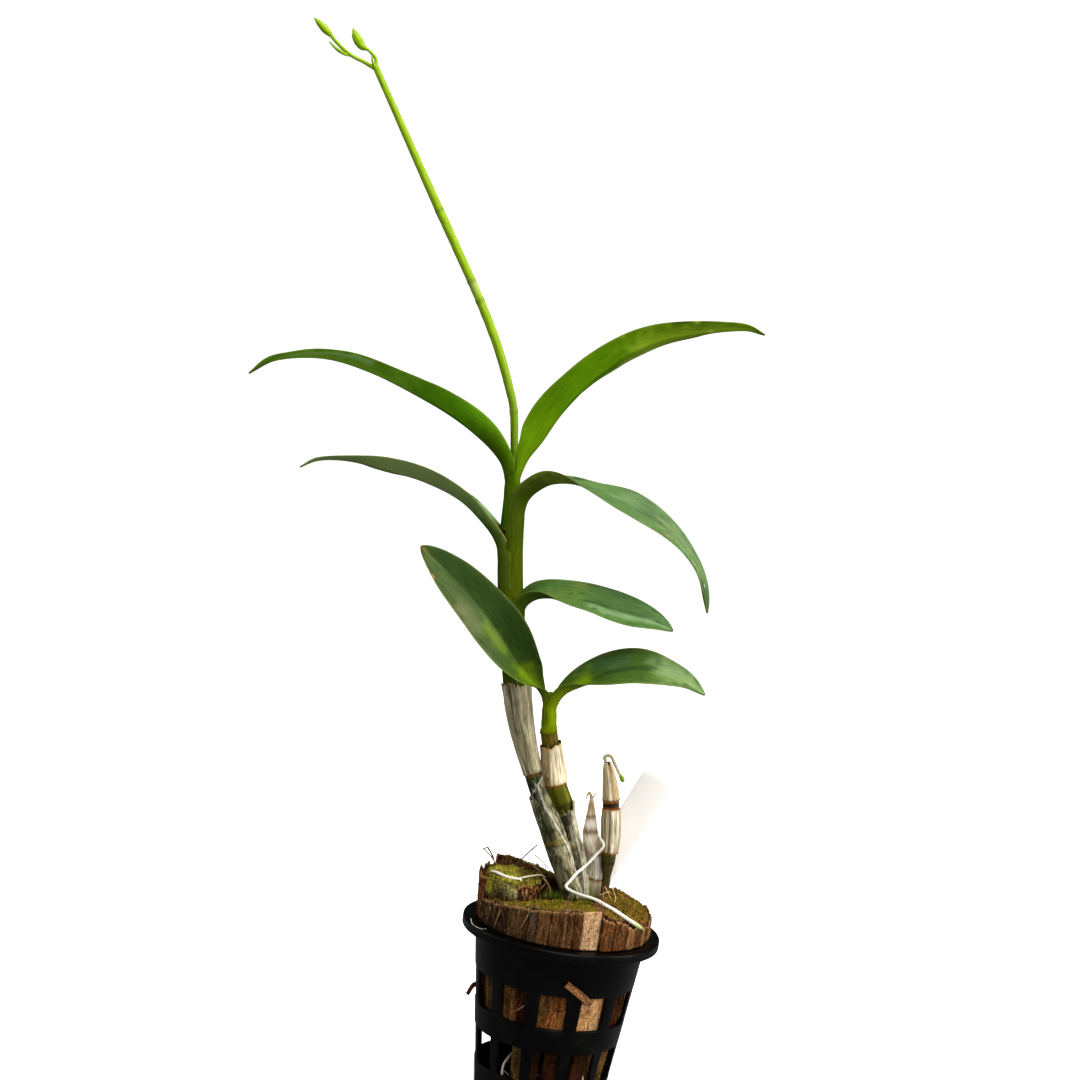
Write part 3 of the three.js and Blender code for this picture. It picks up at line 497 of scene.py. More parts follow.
LAMPS = {
    "top": ((150, -600, 1700), (1.0, 1.0), 30),
    "left": ((-1500, 250, 700), (0.6, 1.6), 7),
    "right": ((1500, -200, 700), (0.6, 1.6), 21),
    "front": ((500, -1900, 900), (1.2, 1.2), 19),
}
for name, lamp in LAMPS.items():
    soft_lamp(f"{name}_lamp", *lamp)
world = bpy.data.worlds.new("white_sky")
world.use_nodes = True
sky = world.node_tree.nodes["Background"].inputs
sky["Color"].default_value, sky["Strength"].default_value = rgba("ffffff"), 0.3
bpy.context.scene.world = world
view = bpy.context.scene.view_settings
view.view_transform, view.look = "Standard", "Medium High Contrast"
print("lamps:", len(LAMPS))

# %% [markdown]
# ## Canes
#
# A dendrobium's stem is a cane: a row of segments with a node between each two, thick where it
# stores water. Each cane here follows a curve that only climbs, so a height is enough to say where
# a point is on it, and a profile gives its bare radius by height. `on_cane` turns a height, a
# bearing and a radius into a point, for the bare cane as well as for everything wrapped round it.
# A bearing is an angle in degrees: 0 is to the right, 90 to the back and -90 to the front.
#
# All the plant matter shares one finish, the piece's own tint darkened and raised by noise that
# follows it. Only sizes, gloss and contrast differ, from waxy skin to dry paper and coir.

# %% Cane curves
CANES = {
    "main": {
        "path": [[3.4, -5, 91], [2.6, -5, 95], [0.4, -5, 100], [-9, -5, 120], [-24, -5, 151],
                 [-33, -4, 176], [-41, -4, 212], [-46, -4, 244], [-48, -4, 268], [-49, -4, 279]],
        "profile": [[91, 3], [96, 3], [108, 3.2], [120, 2.7], [133, 2.7], [137, 3.9], [147, 3.9],
                    [150, 3.5], [164, 4.2], [176, 4.8], [187, 5.0], [196, 5.4], [214, 5.3],
                    [218, 5.2], [242, 4.9], [251, 4.8], [262, 4.3], [270, 2.4], [279, 1.6]],
        "colours": ("1f2c08", "3c4c12"),
    },
    "short": {
        "path": [[6.4, 4, 90.8], [5.4, 3.8, 98], [2.2, 2.8, 110], [-2.2, 0.6, 121],
                 [-7.2, -2.6, 134], [-12, -4.5, 144], [-15.4, -6.3, 158], [-18.4, -8, 169],
                 [-19.5, -9, 177], [-20, -9.3, 186]],
        "profile": [[90.8, 3.2], [98, 3.4], [110, 3.6], [121, 3.7], [133, 3.9], [135.4, 5.3],
                    [144.6, 5.3], [148, 4.1], [160, 3.9], [167, 3.8], [171, 2.6], [173, 1.3],
                    [185, 1.2]],
        "colours": ("454600", "858406"),
    },
    "old": {
        "path": [[17.8, 3, 90.8], [17.4, 3, 100], [17, 3, 112], [16.5, 3, 122], [14.6, 3, 137],
                 [12, 3, 149], [10, 3, 156]],
        "profile": [[90.8, 1.9], [104, 1.9], [110, 3], [114.5, 3.3], [122, 3.5],
                    [131, 3], [134.5, 3.3], [135.5, 3.75], [139, 3.75], [140, 2.7], [149, 1.4],
                    [151, 0.8], [156, 0.2]],
        "colours": ("2e2a12", "6e6236"),
    },
    "tip": {
        "path": [[12.6, 8.4, 90.8], [12.4, 9, 98], [12, 9, 107], [7.8, 8, 120], [6.8, 8, 128],
                 [5.6, 8, 139]],
        "profile": [[90.8, 4.0], [99, 4.2], [101, 3.6], [113, 3.5], [118, 4.0], [122, 3.5],
                    [128, 2.5], [132, 1.8], [136, 1.2], [139, 0.4]],
        "colours": ("dcc08c", "fffaec"),
    },
}
for cane in CANES.values():
    cane["curve"] = spline(cane["path"], 60)
    cane["ahead"] = unit(np.gradient(cane["curve"], axis=0))


def cane_axes(name, z):
    """Centre of a cane at each height, with its direction and two axes across it, the first one
    as close to +x as it can be."""
    cane = CANES[name]
    heights = cane["curve"][:, 2]
    centre = sample(cane["curve"], heights, z)
    ahead = unit(sample(cane["ahead"], heights, z))
    side = unit(np.array([1.0, 0, 0]) - ahead[..., :1] * ahead)
    return centre, ahead, side, np.cross(ahead, side)


def on_cane(name, z, bearing, radius):
    """Points at a height, bearing and radius: centre + side r cos b + up r sin b."""
    z, bearing, radius = np.broadcast_arrays(z, bearing, radius)
    centre, _, side, up = cane_axes(name, z)
    turn = np.radians(bearing)[..., None]
    return centre + radius[..., None] * (side * np.cos(turn) + up * np.sin(turn))


def bare_radius(name, z):
    """A cane's bare radius at a height, read between the pairs of its profile."""
    heights, radii = np.array(CANES[name]["profile"]).T
    return np.interp(z, heights, radii)


print("cane heights:", {name: cane["path"][-1][2] for name, cane in CANES.items()})

# %% Bare canes
TURN = np.linspace(-180, 180, 48, endpoint=False)[None, :]  # bearings round a cane
# Rings of another colour on a cane: [height, half its width in mm, colour, strength].
RINGS = {
    "main": [(147.6, 0.6, "8a5f14", 0.9), (138.6, 0.7, "4c4a16", 0.8), (143, 2.6, "1b2a06", 0.7)],
    "short": [(145, 0.7, "a5701c", 0.9), (136, 0.8, "2c2606", 0.8), (163, 0.8, "2d2806", 0.8),
              (165.8, 2.2, "745c12", 0.85)],
    "old": [(138.7, 0.45, "c07a1c", 1.0), (137.2, 1.0, "1d1e0a", 1.0),
            (135.6, 0.45, "a5661a", 0.9), (113.2, 1.6, "4a4a10", 1.0), (110.6, 0.7, "2a1c0c", 0.9),
            (115, 0.5, "c08a2c", 0.9)],
    "tip": [(129.4, 1.0, "8a5526", 0.8), (126, 1.4, "fffaee", 0.9), (122.8, 1.3, "8a5a3c", 0.85),
            (119.6, 1.2, "fff2d8", 0.8), (134, 3.0, "b07c3e", 0.6), (100.2, 0.6, "c0761c", 1.0),
            (93, 7.0, "6c7028", 0.85)],
}


def cane_tint(name, z, bearing):
    """Between the cane's two colours by noise that is long along it, with its rings."""
    points = turned(3, z / 14, np.radians(bearing))
    tint = mix(*CANES[name]["colours"], 0.5 + 0.5 * fractal(points, 0.9, 5))
    for middle, half, colour, strength in RINGS[name]:
        ragged = 0.35 * noise(points * [1, 1, 0], 0.7, int(middle))
        tint = paint(tint, (colour, strength * bump(z, middle + ragged, half)))
    return tint


def bare_cane(name):
    """Rings at equal heights, swollen by shallow ribs: radius (1 + 0.02 cos 9b)."""
    low, high = CANES[name]["path"][0][2], CANES[name]["path"][-1][2]
    z = np.linspace(low, high, int((high - low) / 0.8))[:, None]
    radius = bare_radius(name, z) * (1 + 0.02 * np.cos(np.radians(9 * TURN)))
    lay = stack(z, np.radians(TURN) * radius, 0.0)
    return tube(on_cane(name, z, TURN, radius), cane_tint(name, z, TURN), lay)


print("rings on the canes:", {name: len(rings) for name, rings in RINGS.items()})


# %% Skin of the canes
def plant_matter(name, stops, streaks=None, crumbs=None, cover=1.0, relief=None, **surface):
    """A material in the piece's own tint, multiplied by the share `cover` with a ramp over noise.
    `streaks` are that noise's size in mm along and across the piece, its detail and roughness.
    `crumbs` are the size and detail of noise in the object's own space. Where both are given they
    are multiplied. `relief` is a bump's strength and its depth in mm."""
    material, tree, shader = new_material(name, **surface)
    heights = []
    if streaks:
        along, across, detail, rough = streaks
        lay = add(tree, "Attribute", attribute_name="lay").outputs["Vector"]
        place = add(tree, "Mapping", {"Vector": lay, "Scale": (per(along), per(across), 1)})
        heights.append(add(tree, "TexNoise", {
            "Vector": place.outputs["Vector"], "Scale": 1, "Detail": detail, "Roughness": rough}))
    if crumbs:
        where = add(tree, "TexCoord").outputs["Object"]
        heights.append(add(tree, "TexNoise", {
            "Vector": where, "Scale": per(crumbs[0]), "Detail": crumbs[1]}))
    height = heights[0].outputs["Fac"]
    if len(heights) == 2:
        height = add(tree, "Math", {0: height, 1: heights[1].outputs["Fac"]},
                     operation="MULTIPLY").outputs[0]
    tint = add(tree, "Attribute", attribute_name="tint").outputs["Color"]
    ramp = add(tree, "ValToRGB", {"Fac": height}, stops).outputs["Color"]
    colour = add(tree, "MixRGB", {"Fac": cover, "Color1": tint, "Color2": ramp},
                 blend_type="MULTIPLY")
    tree.links.new(colour.outputs["Color"], shader.inputs["Base Color"])
    if relief:
        bumps = add(tree, "Bump", {"Height": height, "Strength": relief[0],
                                   "Distance": relief[1] * MM})
        tree.links.new(bumps.outputs["Normal"], shader.inputs["Normal"])
    return material


def plant_skin(name, roughness, gloss, streak_size, depth, darkest="b4b4b4"):
    """Waxy plant skin. Noise 14 times as long as it is wide darkens fine streaks, down to
    `darkest`, and raises them by `depth` mm."""
    return plant_matter(name, [(0.3, darkest), (0.7, "ffffff")],
                        (streak_size * 14, streak_size, 3, 0.5), cover=0.8, relief=(0.5, depth),
                        Roughness=roughness, IOR=1.45, Specular_IOR_Level=gloss)


# Living stem: a waxy skin with soft gloss over fine streaks that run along it.
cane_skin = plant_skin("dendrobium_cane_skin", 0.42, 0.25, 0.7, 0.12)
for name, slot in [("main", "green_cane"), ("short", "green_cane"), ("old", "old_cane"),
                   ("tip", "old_cane")]:
    make_piece(f"cane_{name}_skin", bare_cane(name), cane_skin, [f"cane_{name}"])

# %% [markdown]
# ## Dry sheaths
#
# When a leaf is shed, the part that wrapped the cane stays as a papery sleeve: cream or
# silver-grey, streaked along its veins, orange-brown at its rim and torn at the top. Each one is a
# closed wall,
# inside and outside, with a profile of its own. Its top height changes with the bearing. One side
# overlaps the other along a margin that winds round it, and white fibres fray from its edges.


# %% Sheath shapes
def turned_from(bearing, middle):
    """Degrees between two bearings, 0 to 180."""
    return np.abs((bearing - middle + 540) % 360 - 180)


def peak(bearing, middle, reach):
    """1 at a bearing, falling straight to 0 at `reach` degrees from it."""
    return np.maximum(0, 1 - turned_from(bearing, middle) / reach)


# Each sheath: its lowest height, how far its top stands off and how torn it is, its outer radii by
# height, its top height by bearing, its colours, its streaks as (bearing, half width in degrees,
# colour, strength), the heights and bearings of its margin, and the scars of nodes under it. The
# streaks are partly the paper's own and partly painted light and shade: pale where the light falls
# on a sheath and dark on its shaded side.
SHEATHS = {
    "main_lower": {
        "bottom": 92, "flare": 0.25, "tear": 0.7,
        "outer": [[92, 4.7], [106, 4.7], [112, 5.3], [133, 5.2], [139, 4.7], [147, 4.5]],
        "top": lambda b: 138.4 + 8.2 * peak(b, -35, 100) ** 0.8,
        "colours": ("57553a", "c2ba96"), "rim": "dcd9c6",
        "streaks_and_painted_light": [(-108, 48, "2c3418", 0.85), (170, 30, "dcd7ba", 0.6),
                    (-14, 18, "f0ebd2", 0.75)],
        "margin": [[96, 20], [106, -6], [126.5, -66], [134, -86]],
        "nodes": [(119, "7a6c1c", 0.95), (117.4, "23290f", 0.6)], "weathered": 0.75,
    },
    "main_upper": {
        "bottom": 148, "flare": 0.2, "tear": 0.9,
        "outer": [[148, 4.35], [152, 4.45], [164, 5.3], [176, 6.0], [188, 6.4]],
        "top": lambda b: 187.2 + 0.7 * np.cos(np.radians(3 * b)) - 4.5 * peak(b, -8, 14),
        "colours": ("9a9474", "ece4c8"), "rim": "b09a68",
        "streaks_and_painted_light": [(-36, 40, "fff4cf", 0.85), (-100, 26, "67613f", 0.5)],
        "margin": [[148, -30], [186, -20]],
    },
    "short_lower": {
        "bottom": 92, "flare": 0.3, "tear": 0.9,
        "outer": [[92, 4.4], [106, 4.3], [120, 4.3], [130, 4.6], [134, 5.2]],
        "top": lambda b: 131.6 + 4.2 * peak(b, -10, 80) + 3.0 * peak(b, 160, 90),
        "colours": ("6a6244", "cdc3a0"), "rim": "9d8a5c",
        "streaks_and_painted_light": [(-14, 30, "f6f0d8", 0.85), (-108, 44, "1f1a10", 0.9)],
        "margin": [[96, -60], [131, -48]],
        "nodes": [(117, "8a7626", 0.8), (115.8, "3a3a1c", 0.5)], "weathered": 0.6,
    },
    "short_upper": {
        "bottom": 145.2, "flare": 0.15, "tear": 0.4,
        "outer": [[145, 5.8], [149, 5.7], [155, 5.4], [163, 4.7]],
        "top": lambda b: 162.6 + 0.3 * np.cos(np.radians(b)) - 0.8 * peak(b, -90, 30),
        "colours": ("bba26c", "fff1cf"), "rim": "c08a35",
        "streaks_and_painted_light": [(-50, 34, "fff6de", 0.6), (-140, 26, "a98c54", 0.5)],
        "margin": [[143, -110], [162, -100]],
    },
    "old_middle": {
        "bottom": 115.2, "flare": 0.05, "tear": 0.25,
        "outer": [[115, 3.9], [120, 4.3], [130, 4.5], [134, 4.1], [135.4, 3.95]],
        "top": lambda b: 135.2 + 0 * b,
        "colours": ("ad976c", "fff6dc"), "rim": "b0742a",
        "streaks_and_painted_light": [(-72, 26, "fff8e6", 0.5), (-104, 6, "6a4c28", 0.3), (-36, 5, "6f5430", 0.3),
                    (-130, 22, "8f8260", 0.6)],
        "margin": [[115, -100], [135, -96]],
    },
    "old_upper": {
        "bottom": 139, "flare": 0.05, "tear": 0.5,
        "outer": [[139, 3.9], [143, 3.55], [148, 3.0], [152.5, 2.3], [155.5, 1.5], [157.4, 0.75]],
        "top": lambda b: 157.2 - 2.4 * peak(b, -62, 20),
        "colours": ("b89c68", "fff0c8"), "rim": "7c5220",
        "streaks_and_painted_light": [(-110, 30, "f6ead0", 0.6), (-55, 10, "7d5c30", 0.4)],
        "margin": [[139, -70], [150, -60]],
    },
    # The tip's colours are near white: painted light that brightens it where the canes round it
    # shade it.
    "tip": {
        "bottom": 101, "flare": 0.3, "tear": 0.9,
        "outer": [[101, 4.3], [106, 4.0], [112, 3.9], [118, 4.0]],
        "top": lambda b: 112.5 + 4.5 * peak(b, 180, 110),
        "colours": ("ecd9a6", "fffaf0"), "rim": "c9801c",
        "streaks_and_painted_light": [(-150, 40, "6b7850", 0.3), (-80, 70, "fffaf0", 0.9)],
        "margin": [[101, -95], [116, -100]],
    },
}
PAPER = 0.5  # wall of a sheath
print("sheaths and their lowest heights:", {name: SHEATHS[name]["bottom"] for name in SHEATHS})


# %% Sheath surfaces
def sheath_form(paper, seed):
    """Numbers over the sheath's grid. The outer radius is read from `outer`, plus fine ribs and
    wrinkles, plus 0.45 mm on the side that overlaps the other, fading over half a turn. Near the
    top edge it stands off by `flare`, and the edge's height is torn by noise."""
    bearing = np.linspace(-180, 180, 120, endpoint=False)[None, :]
    around = np.radians(bearing)
    circle = turned(6, 0, around)
    torn = fractal(circle, 2.0, seed) + 0.7 * noise(circle, 0.5, seed + 7)
    edge = paper["top"](bearing) + paper["tear"] * torn
    share = np.linspace(0, 1, int((edge.max() - paper["bottom"]) / 0.5))[:, None]
    z = paper["bottom"] + share * (edge - paper["bottom"])
    ribs = fractal(turned(6, z / 16, around), 0.9, seed + 3)
    wrinkle = noise(turned(6, z / 3, around), 1.6, seed + 5)
    heights, bearings = np.array(paper["margin"]).T
    past = (bearing - np.interp(z, heights, bearings)) % 360
    overlap = smooth(past, 0, 5) * (1 - smooth(past, 5, 180))
    lift = paper["flare"] * smooth(z, edge - 5, edge) * (1 + fractal(circle, 3.0, seed + 9))
    heights, radii = np.array(paper["outer"]).T
    ripple = 0.13 * ribs + 0.1 * wrinkle + 0.45 * overlap
    radius = np.interp(z, heights, radii) + ripple + lift
    return {"bearing": bearing, "around": around, "edge": edge, "z": z, "ribs": ribs,
            "wrinkle": wrinkle, "past": past, "radius": radius}


def sheath_tint(paper, form, seed):
    """Between the two colours by the ribs. Over that go the streaks, partly the paper's own and
    partly painted light and shade, then mottling, weathering, the scars of nodes, the rim, and the
    pale edge and dark shadow of the margin."""
    around, z, past = form["around"], form["z"], form["past"]
    by_rib = smooth(form["ribs"], -0.7, 0.7)
    tint = mix(*paper["colours"], by_rib)
    wander = 14 * fractal(turned(6, z / 16, around), 3.0, seed + 11)
    # Streaks at fixed bearings: some are the paper's own, and the broad pale and dark ones are
    # painted light and shade.
    for middle, half, colour, strength in paper["streaks_and_painted_light"]:
        reach = turned_from(form["bearing"] + wander, middle)
        tint = mix(tint, linear(colour) * (0.75 + 0.35 * by_rib[..., None]),
                   strength * bump(reach, 0, half))
    place = turned(6, z / 1.5, around)
    scale = fractal(place, 2.4, seed + 13)
    slant = fractal(turned(6, z / 4 + form["bearing"] / 40, around), 2.0, seed + 15)
    worn = paper.get("weathered", 0)
    scars = [(colour, strength * bump(z, height + 0.2 * form["wrinkle"], 0.7))
             for height, colour, strength in paper.get("nodes", [])]
    edges = np.maximum(bump(z, form["edge"], 0.6), bump(z, paper["bottom"], 0.7))
    return paint(
        tint,
        (0.65, smooth(fractal(place, 3, seed), 0.2, 0.9)),
        ("2f351a", worn * smooth(scale, -0.2, 0.5)),
        ("a6a286", worn * 0.8 * smooth(-scale, 0.15, 0.7)),
        ("d6d2b8", worn * 0.6 * (1 - smooth(np.abs(slant), 0.02, 0.07))),
        *scars,
        (paper["rim"], 0.8 * edges),
        ("f2f0e2", (0.6 + 0.4 * worn) * bump(past, 4, 5) * (paper["flare"] > 0.1)),
        (0.45, 0.7 * bump(past, 357, 3)),
    )


def paper_sheath(name, seed):
    """Closed wall round a cane, thinner at its top. Its rows run up the outside, over the edge and
    down the inside. Also gives the outer sheet and its bearings past the margin."""
    form = sheath_form(SHEATHS[name], seed)
    z, radius = form["z"], form["radius"]
    inside = radius - PAPER * (1 - 0.6 * smooth(z, form["edge"] - 3, form["edge"]))
    cane = name.split("_")[0]
    sheets = [on_cane(cane, z, form["bearing"], reach) for reach in (radius, inside)]
    tint = sheath_tint(SHEATHS[name], form, seed)
    lay = stack(z, form["around"] * 5, 0.0)
    # The inner wall is painted at half the outer colour: painted shade inside the sheath.
    pairs = [(sheets[0], sheets[1]), (tint, tint * 0.5), (lay, lay)]
    made = tube(*[np.vstack([outer, inner[::-1]]) for outer, inner in pairs], ring=True)
    return made, sheets[0], form["past"]


print("points on the tip's sheath:", sheath_form(SHEATHS["tip"], 46)["radius"].size)


# %% Sheath paper
def dry_paper(name, vein, stretch):
    """Matt paper with raised veins along it, `stretch` times as long as they are wide, and pale
    fibres between dark ones."""
    return plant_matter(name, [(0.34, "7d766a"), (0.5, "dad5ca"), (0.62, "ffffff")],
                        (vein * stretch, vein, 4, 0.6), cover=0.9, relief=(0.8, 0.2),
                        Roughness=0.72, IOR=1.4, Specular_IOR_Level=0.3)


# Dead leaf sheath: dry cellulose, matt, with veins under a millimetre apart that catch the light.
sheath_paper = dry_paper("dry_sheath_paper", 0.5, 22)
# The same paper where it has weathered: broken into scales and crusted with grime.
sheath_crust = dry_paper("weathered_sheath_crust", 0.6, 5)
sheath_sheets = {}
for seed, name in enumerate(SHEATHS):
    made, *sheath_sheets[name] = paper_sheath(name, 40 + seed)
    skin = sheath_crust if "weathered" in SHEATHS[name] else sheath_paper
    make_piece(f"sheath_{name}_paper", made, skin, [f"sheath_{name}"])

# %% Frayed fibres of the sheaths
FRAY = ["efeee6", "cfcdbf", "a39d88", "e2dcc8"]


def sheath_fray(name, count, seed):
    """Hair-thin fibres from a sheath's top edge and from its winding margin. They run along the
    cane and curl a little away from it."""
    random = np.random.default_rng(seed)
    sheet, past = sheath_sheets[name]
    rows, columns = past.shape
    at_top = random.random(count) < 0.5
    column = random.integers(0, columns, count)
    row = np.where(at_top, rows - 1 - random.integers(0, 4, count), random.integers(0, rows, count))
    nearest = np.argmin(np.minimum(past, 360 - past), axis=1)
    column = np.where(at_top, column, (nearest[row] + random.integers(-1, 2, count)) % columns)
    roots = sheet[row, column]
    above = sheet[np.minimum(row + 3, rows - 1), column] - sheet[np.maximum(row - 3, 0), column]
    centre = sheet.mean(1)[row]
    away = unit(roots - centre)
    ahead = unit(unit(above) + 0.25 * away + random.normal(0, 0.18, (count, 3)))
    ahead[~at_top] *= random.choice([-1, 1], ((~at_top).sum(), 1))
    sag = 0.35 * away * random.normal(0.4, 0.6, (count, 1)) + random.normal(0, 0.15, (count, 3))
    return bristles(roots - 0.1 * away, ahead, random.uniform(0.8, 4.2, count),
                    random.uniform(0.04, 0.1, count), sag, palette_draw(FRAY, count, random), 3)


# Frayed sheath fibre: bare cellulose, pale and matt.
fray = plant_matter("frayed_sheath_fibre", [(0.3, "b0aca0"), (0.6, "ffffff")], crumbs=(1.0, 2),
                    Roughness=0.8, Specular_IOR_Level=0.3)
counts = {"main_lower": 260, "main_upper": 90, "short_lower": 220, "short_upper": 60, "tip": 90}
frays = [sheath_fray(name, count, 500 + k) for k, (name, count) in enumerate(counts.items())]
make_piece("sheath_fray", join(frays), fray)


# %% [markdown]
# ## Leaves
#
# A dendrobium leaf is a leathery blade, folded a little along its midrib, and its base is a sleeve
# that wraps the cane down to the node below. Blade and sleeve are one surface here: rows of points
# climb the cane, leave it along the midrib and run out to the tip. In each row the two halves start
# at the midrib with an angle, the fold, and bend on by another, the curl, as circular arcs. On the
# cane that arc is simply the circle round the cane.

# %% Leaf curves
# Each leaf: its cane, the heights and the radius at which it clasps it, the bearing it leaves by,
# the points of its free midrib, its half widths, its roll, fold and curl in degrees at equal
# shares of its length, and the lowest height and the radius of its sleeve.
LEAVES = {
    "top_left": {
        "cane": "main", "clasp": [269, 277], "clasp_radius": 4.2, "bearing": 190,
        "free": [[-56.4, -5, 284.7], [-65.1, -7, 292.7], [-78.3, -10, 300.9], [-95.4, -13, 308.4],
                 [-117.3, -16, 315.9], [-137.6, -20, 319.1], [-157.5, -24, 315.6],
                 [-168.2, -27, 307.8]],
        "widths": [9.7, 10.2, 10.6, 12.1, 14.1, 16.8],
        "roll": [0, -5, -2, 1, -2, -2, -6],
        "fold": [0, 39, 52, 38, 30, 18, 20], "sleeve": (254, 5.0),
    },
    "top_right": {
        "cane": "main", "clasp": [271, 280], "clasp_radius": 2.4, "bearing": -5,
        "free": [[-44.1, -2, 287.4], [-39.4, 0, 295.4], [-31.1, 4, 311.2], [-17, 8, 329.3],
                 [0.4, 12, 344.1], [18.9, 14, 352.2], [42.5, 15, 358], [53.7, 15, 357]],
        "widths": [12.8, 12.1, 12.2, 12.1, 11.1, 9.9],
        "roll": [0, 33, 38, 39, 36, 29, 29],
        "fold": [0, 47, 38, 27, 18, 18, 14], "sleeve": (264, 2.4),
    },
    "second_left": {
        "cane": "main", "clasp": [229.4, 242], "clasp_radius": 5.6, "bearing": 185,
        "free": [[-53.1, -4, 248.1], [-58.5, -6, 255.2], [-70.9, -9, 265.3], [-87.5, -14, 271.6],
                 [-105.5, -19, 274.7], [-121, -23, 276.6], [-133.7, -26, 275.2],
                 [-141, -28, 270.9]],
        "widths": [6.4, 8.2, 11, 12.6, 12.8, 13.6],
        "roll": [0, 11, -5, -21, -24, -7, -5],
        "fold": [0, 24, 26, 17, 12, 7, 9], "sleeve": (208, 5.6),
    },
    "second_right": {
        "cane": "main", "clasp": [254.6, 264], "clasp_radius": 5.1, "bearing": -30,
        "free": [[-42.2, -7.4, 269.1], [-38.5, -10.4, 273.9], [-31, -16, 278.9],
                 [-19.6, -21, 279.9], [-1.7, -27, 275.4], [17.4, -31, 266.9], [33.7, -34, 252.6],
                 [41.4, -36, 233.5]],
        "widths": [8.3, 8.3, 9.3, 8.1, 6.3, 10.2],
        "roll": [0, 8, -8, -34, -33, -20, -9],
        "fold": [0, 12, 2, 12, 21, 26, 44],
        "curl": [50, 14, 8, 6, 6, 6], "sleeve": (219, 5.4),
    },
    "third_right": {
        "cane": "main", "clasp": [206.4, 218], "clasp_radius": 5.8, "bearing": -10,
        "free": [[-35.9, -5.6, 222.4], [-31.1, -7, 226.7], [-22.1, -9, 228.3], [-8.5, -12, 228.7],
                 [6.5, -15, 226.5], [20.2, -18, 224.8], [29.3, -20, 222]],
        "widths": [9.1, 10.4, 12.1, 13.9, 14.1, 12.9],
        "roll": [0, -18, -30, -33, -38, -41, -35],
        "fold": [0, 18, 16, 11, 10, 9, 9], "sleeve": (184.6, 5.4),
    },
    "short_left": {
        "cane": "short", "clasp": [174, 181], "clasp_radius": 2.7, "bearing": 205,
        "free": [[-25.2, -12.4, 186.5], [-35.1, -19, 197], [-48.6, -26, 214.3],
                 [-62.5, -31, 227.9], [-74.6, -34, 238], [-84.1, -36, 245]],
        "widths": [9.6, 14, 14.9, 16, 15.6],
        "roll": [0, 70, 86, 86, 86, 84],
        "fold": [0, 19, 19, 9, 7, 8],
        "curl": [40, 14, 8, 6, 4], "sleeve": (168, 3.1),
    },
    "short_right": {
        "cane": "short", "clasp": [172.4, 180], "clasp_radius": 3.4, "bearing": -15,
        "free": [[-13.3, -11.4, 186.6], [-5.4, -14, 192.3], [6.8, -18, 199.7], [20.4, -22, 203.5],
                 [36.3, -25, 202.1], [46.6, -27, 196.9]],
        "widths": [10.7, 12.8, 13.2, 11.4, 8.8],
        "roll": [0, -20, -36, -44, -44, -45],
        "fold": [0, 14, 13, 12, 7, 10],
        "curl": [40, 14, 8, 6, 4], "sleeve": (168.4, 3.75),
    },
}
LEAF = {"thickness": 0.7, "rim": 0.2, "tip_round": 0.6, "tip_width": 0.5, "step": 0.9,
        "columns": 33, "sleeve_arc": 172, "curl": [50, 14, 8, 6, 4, 4]}
CLASP_ARC = 88  # degrees that each half reaches round the cane where the blade leaves it
print("leaves and the bearings they leave by:", {name: LEAVES[name]["bearing"] for name in LEAVES})


# %% Leaf surfaces
def midrib(leaf, outward):
    """The points of the midrib from the clasp to the tip, evenly spaced, with their directions
    and the share of the way from where the blade leaves the cane, 0 on the cane."""
    centres = cane_axes(leaf["cane"], np.linspace(*leaf["clasp"], 3))[0]
    dense = spline(np.vstack([centres + outward * leaf["clasp_radius"], leaf["free"]]), 40)
    run = lengths(dense)
    where = np.linspace(0, run[-1], int(run[-1] / LEAF["step"]))
    clasp_end = run[2 * 40]
    share = np.maximum(0, (where - clasp_end) / (run[-1] - clasp_end))
    ahead = unit(sample(np.gradient(dense, axis=0), run, where))
    return sample(dense, run, where), ahead, share


def sleeve_rows(leaf):
    """The rows on the cane: their centre, direction and radius, the arc that each half reaches
    and the share of the climb. The arc narrows from almost all round to the clasp's."""
    bottom, lowest_radius = leaf["sleeve"]
    z = np.arange(bottom, leaf["clasp"][0] - 0.3, LEAF["step"])
    climb = (z - z[0]) / (leaf["clasp"][0] - z[0])
    radius = lowest_radius + (leaf["clasp_radius"] - lowest_radius) * climb
    centre, along, _, _ = cane_axes(leaf["cane"], z)
    reach = np.radians(LEAF["sleeve_arc"]) * (1 - climb**2) + math.radians(CLASP_ARC) * climb**2
    return centre, along, radius, reach, climb


def leaf_rows(leaf):
    """Everything that changes from row to row: the midrib's point and direction, and the blade's
    half width, fold, curl and roll. The sleeve's rows come first: there the half width is the arc
    times the radius."""
    bearing, clasp = math.radians(leaf["bearing"]), math.radians(CLASP_ARC)
    outward = np.array([math.cos(bearing), math.sin(bearing), 0])
    points, ahead, share = midrib(leaf, outward)
    taper = np.maximum(1 - share**2, 0) ** LEAF["tip_round"]
    width = blend([leaf["clasp_radius"] * clasp, *leaf["widths"]], share) * taper
    centre, along, radius, reach, climb = sleeve_rows(leaf)
    zeros = np.zeros(len(climb))
    curl = [CLASP_ARC, *leaf.get("curl", LEAF["curl"])]
    rows = {
        "point": np.vstack([centre + outward * radius[:, None], points]),
        "ahead": np.vstack([along, ahead]),
        "width": np.concatenate([radius * reach, np.maximum(width, LEAF["tip_width"])]),
        "fold": np.radians(np.concatenate([zeros, blend(leaf["fold"], share)])),
        "curl": np.concatenate([reach, np.radians(blend(curl, share))]),
        "roll": np.radians(np.concatenate([zeros, blend(leaf["roll"], share)])),
        "share": np.concatenate([climb - 1, share]),
        "across": np.array([-math.sin(bearing), math.cos(bearing), 0]),
    }
    return rows | {"along": lengths(rows["point"])}


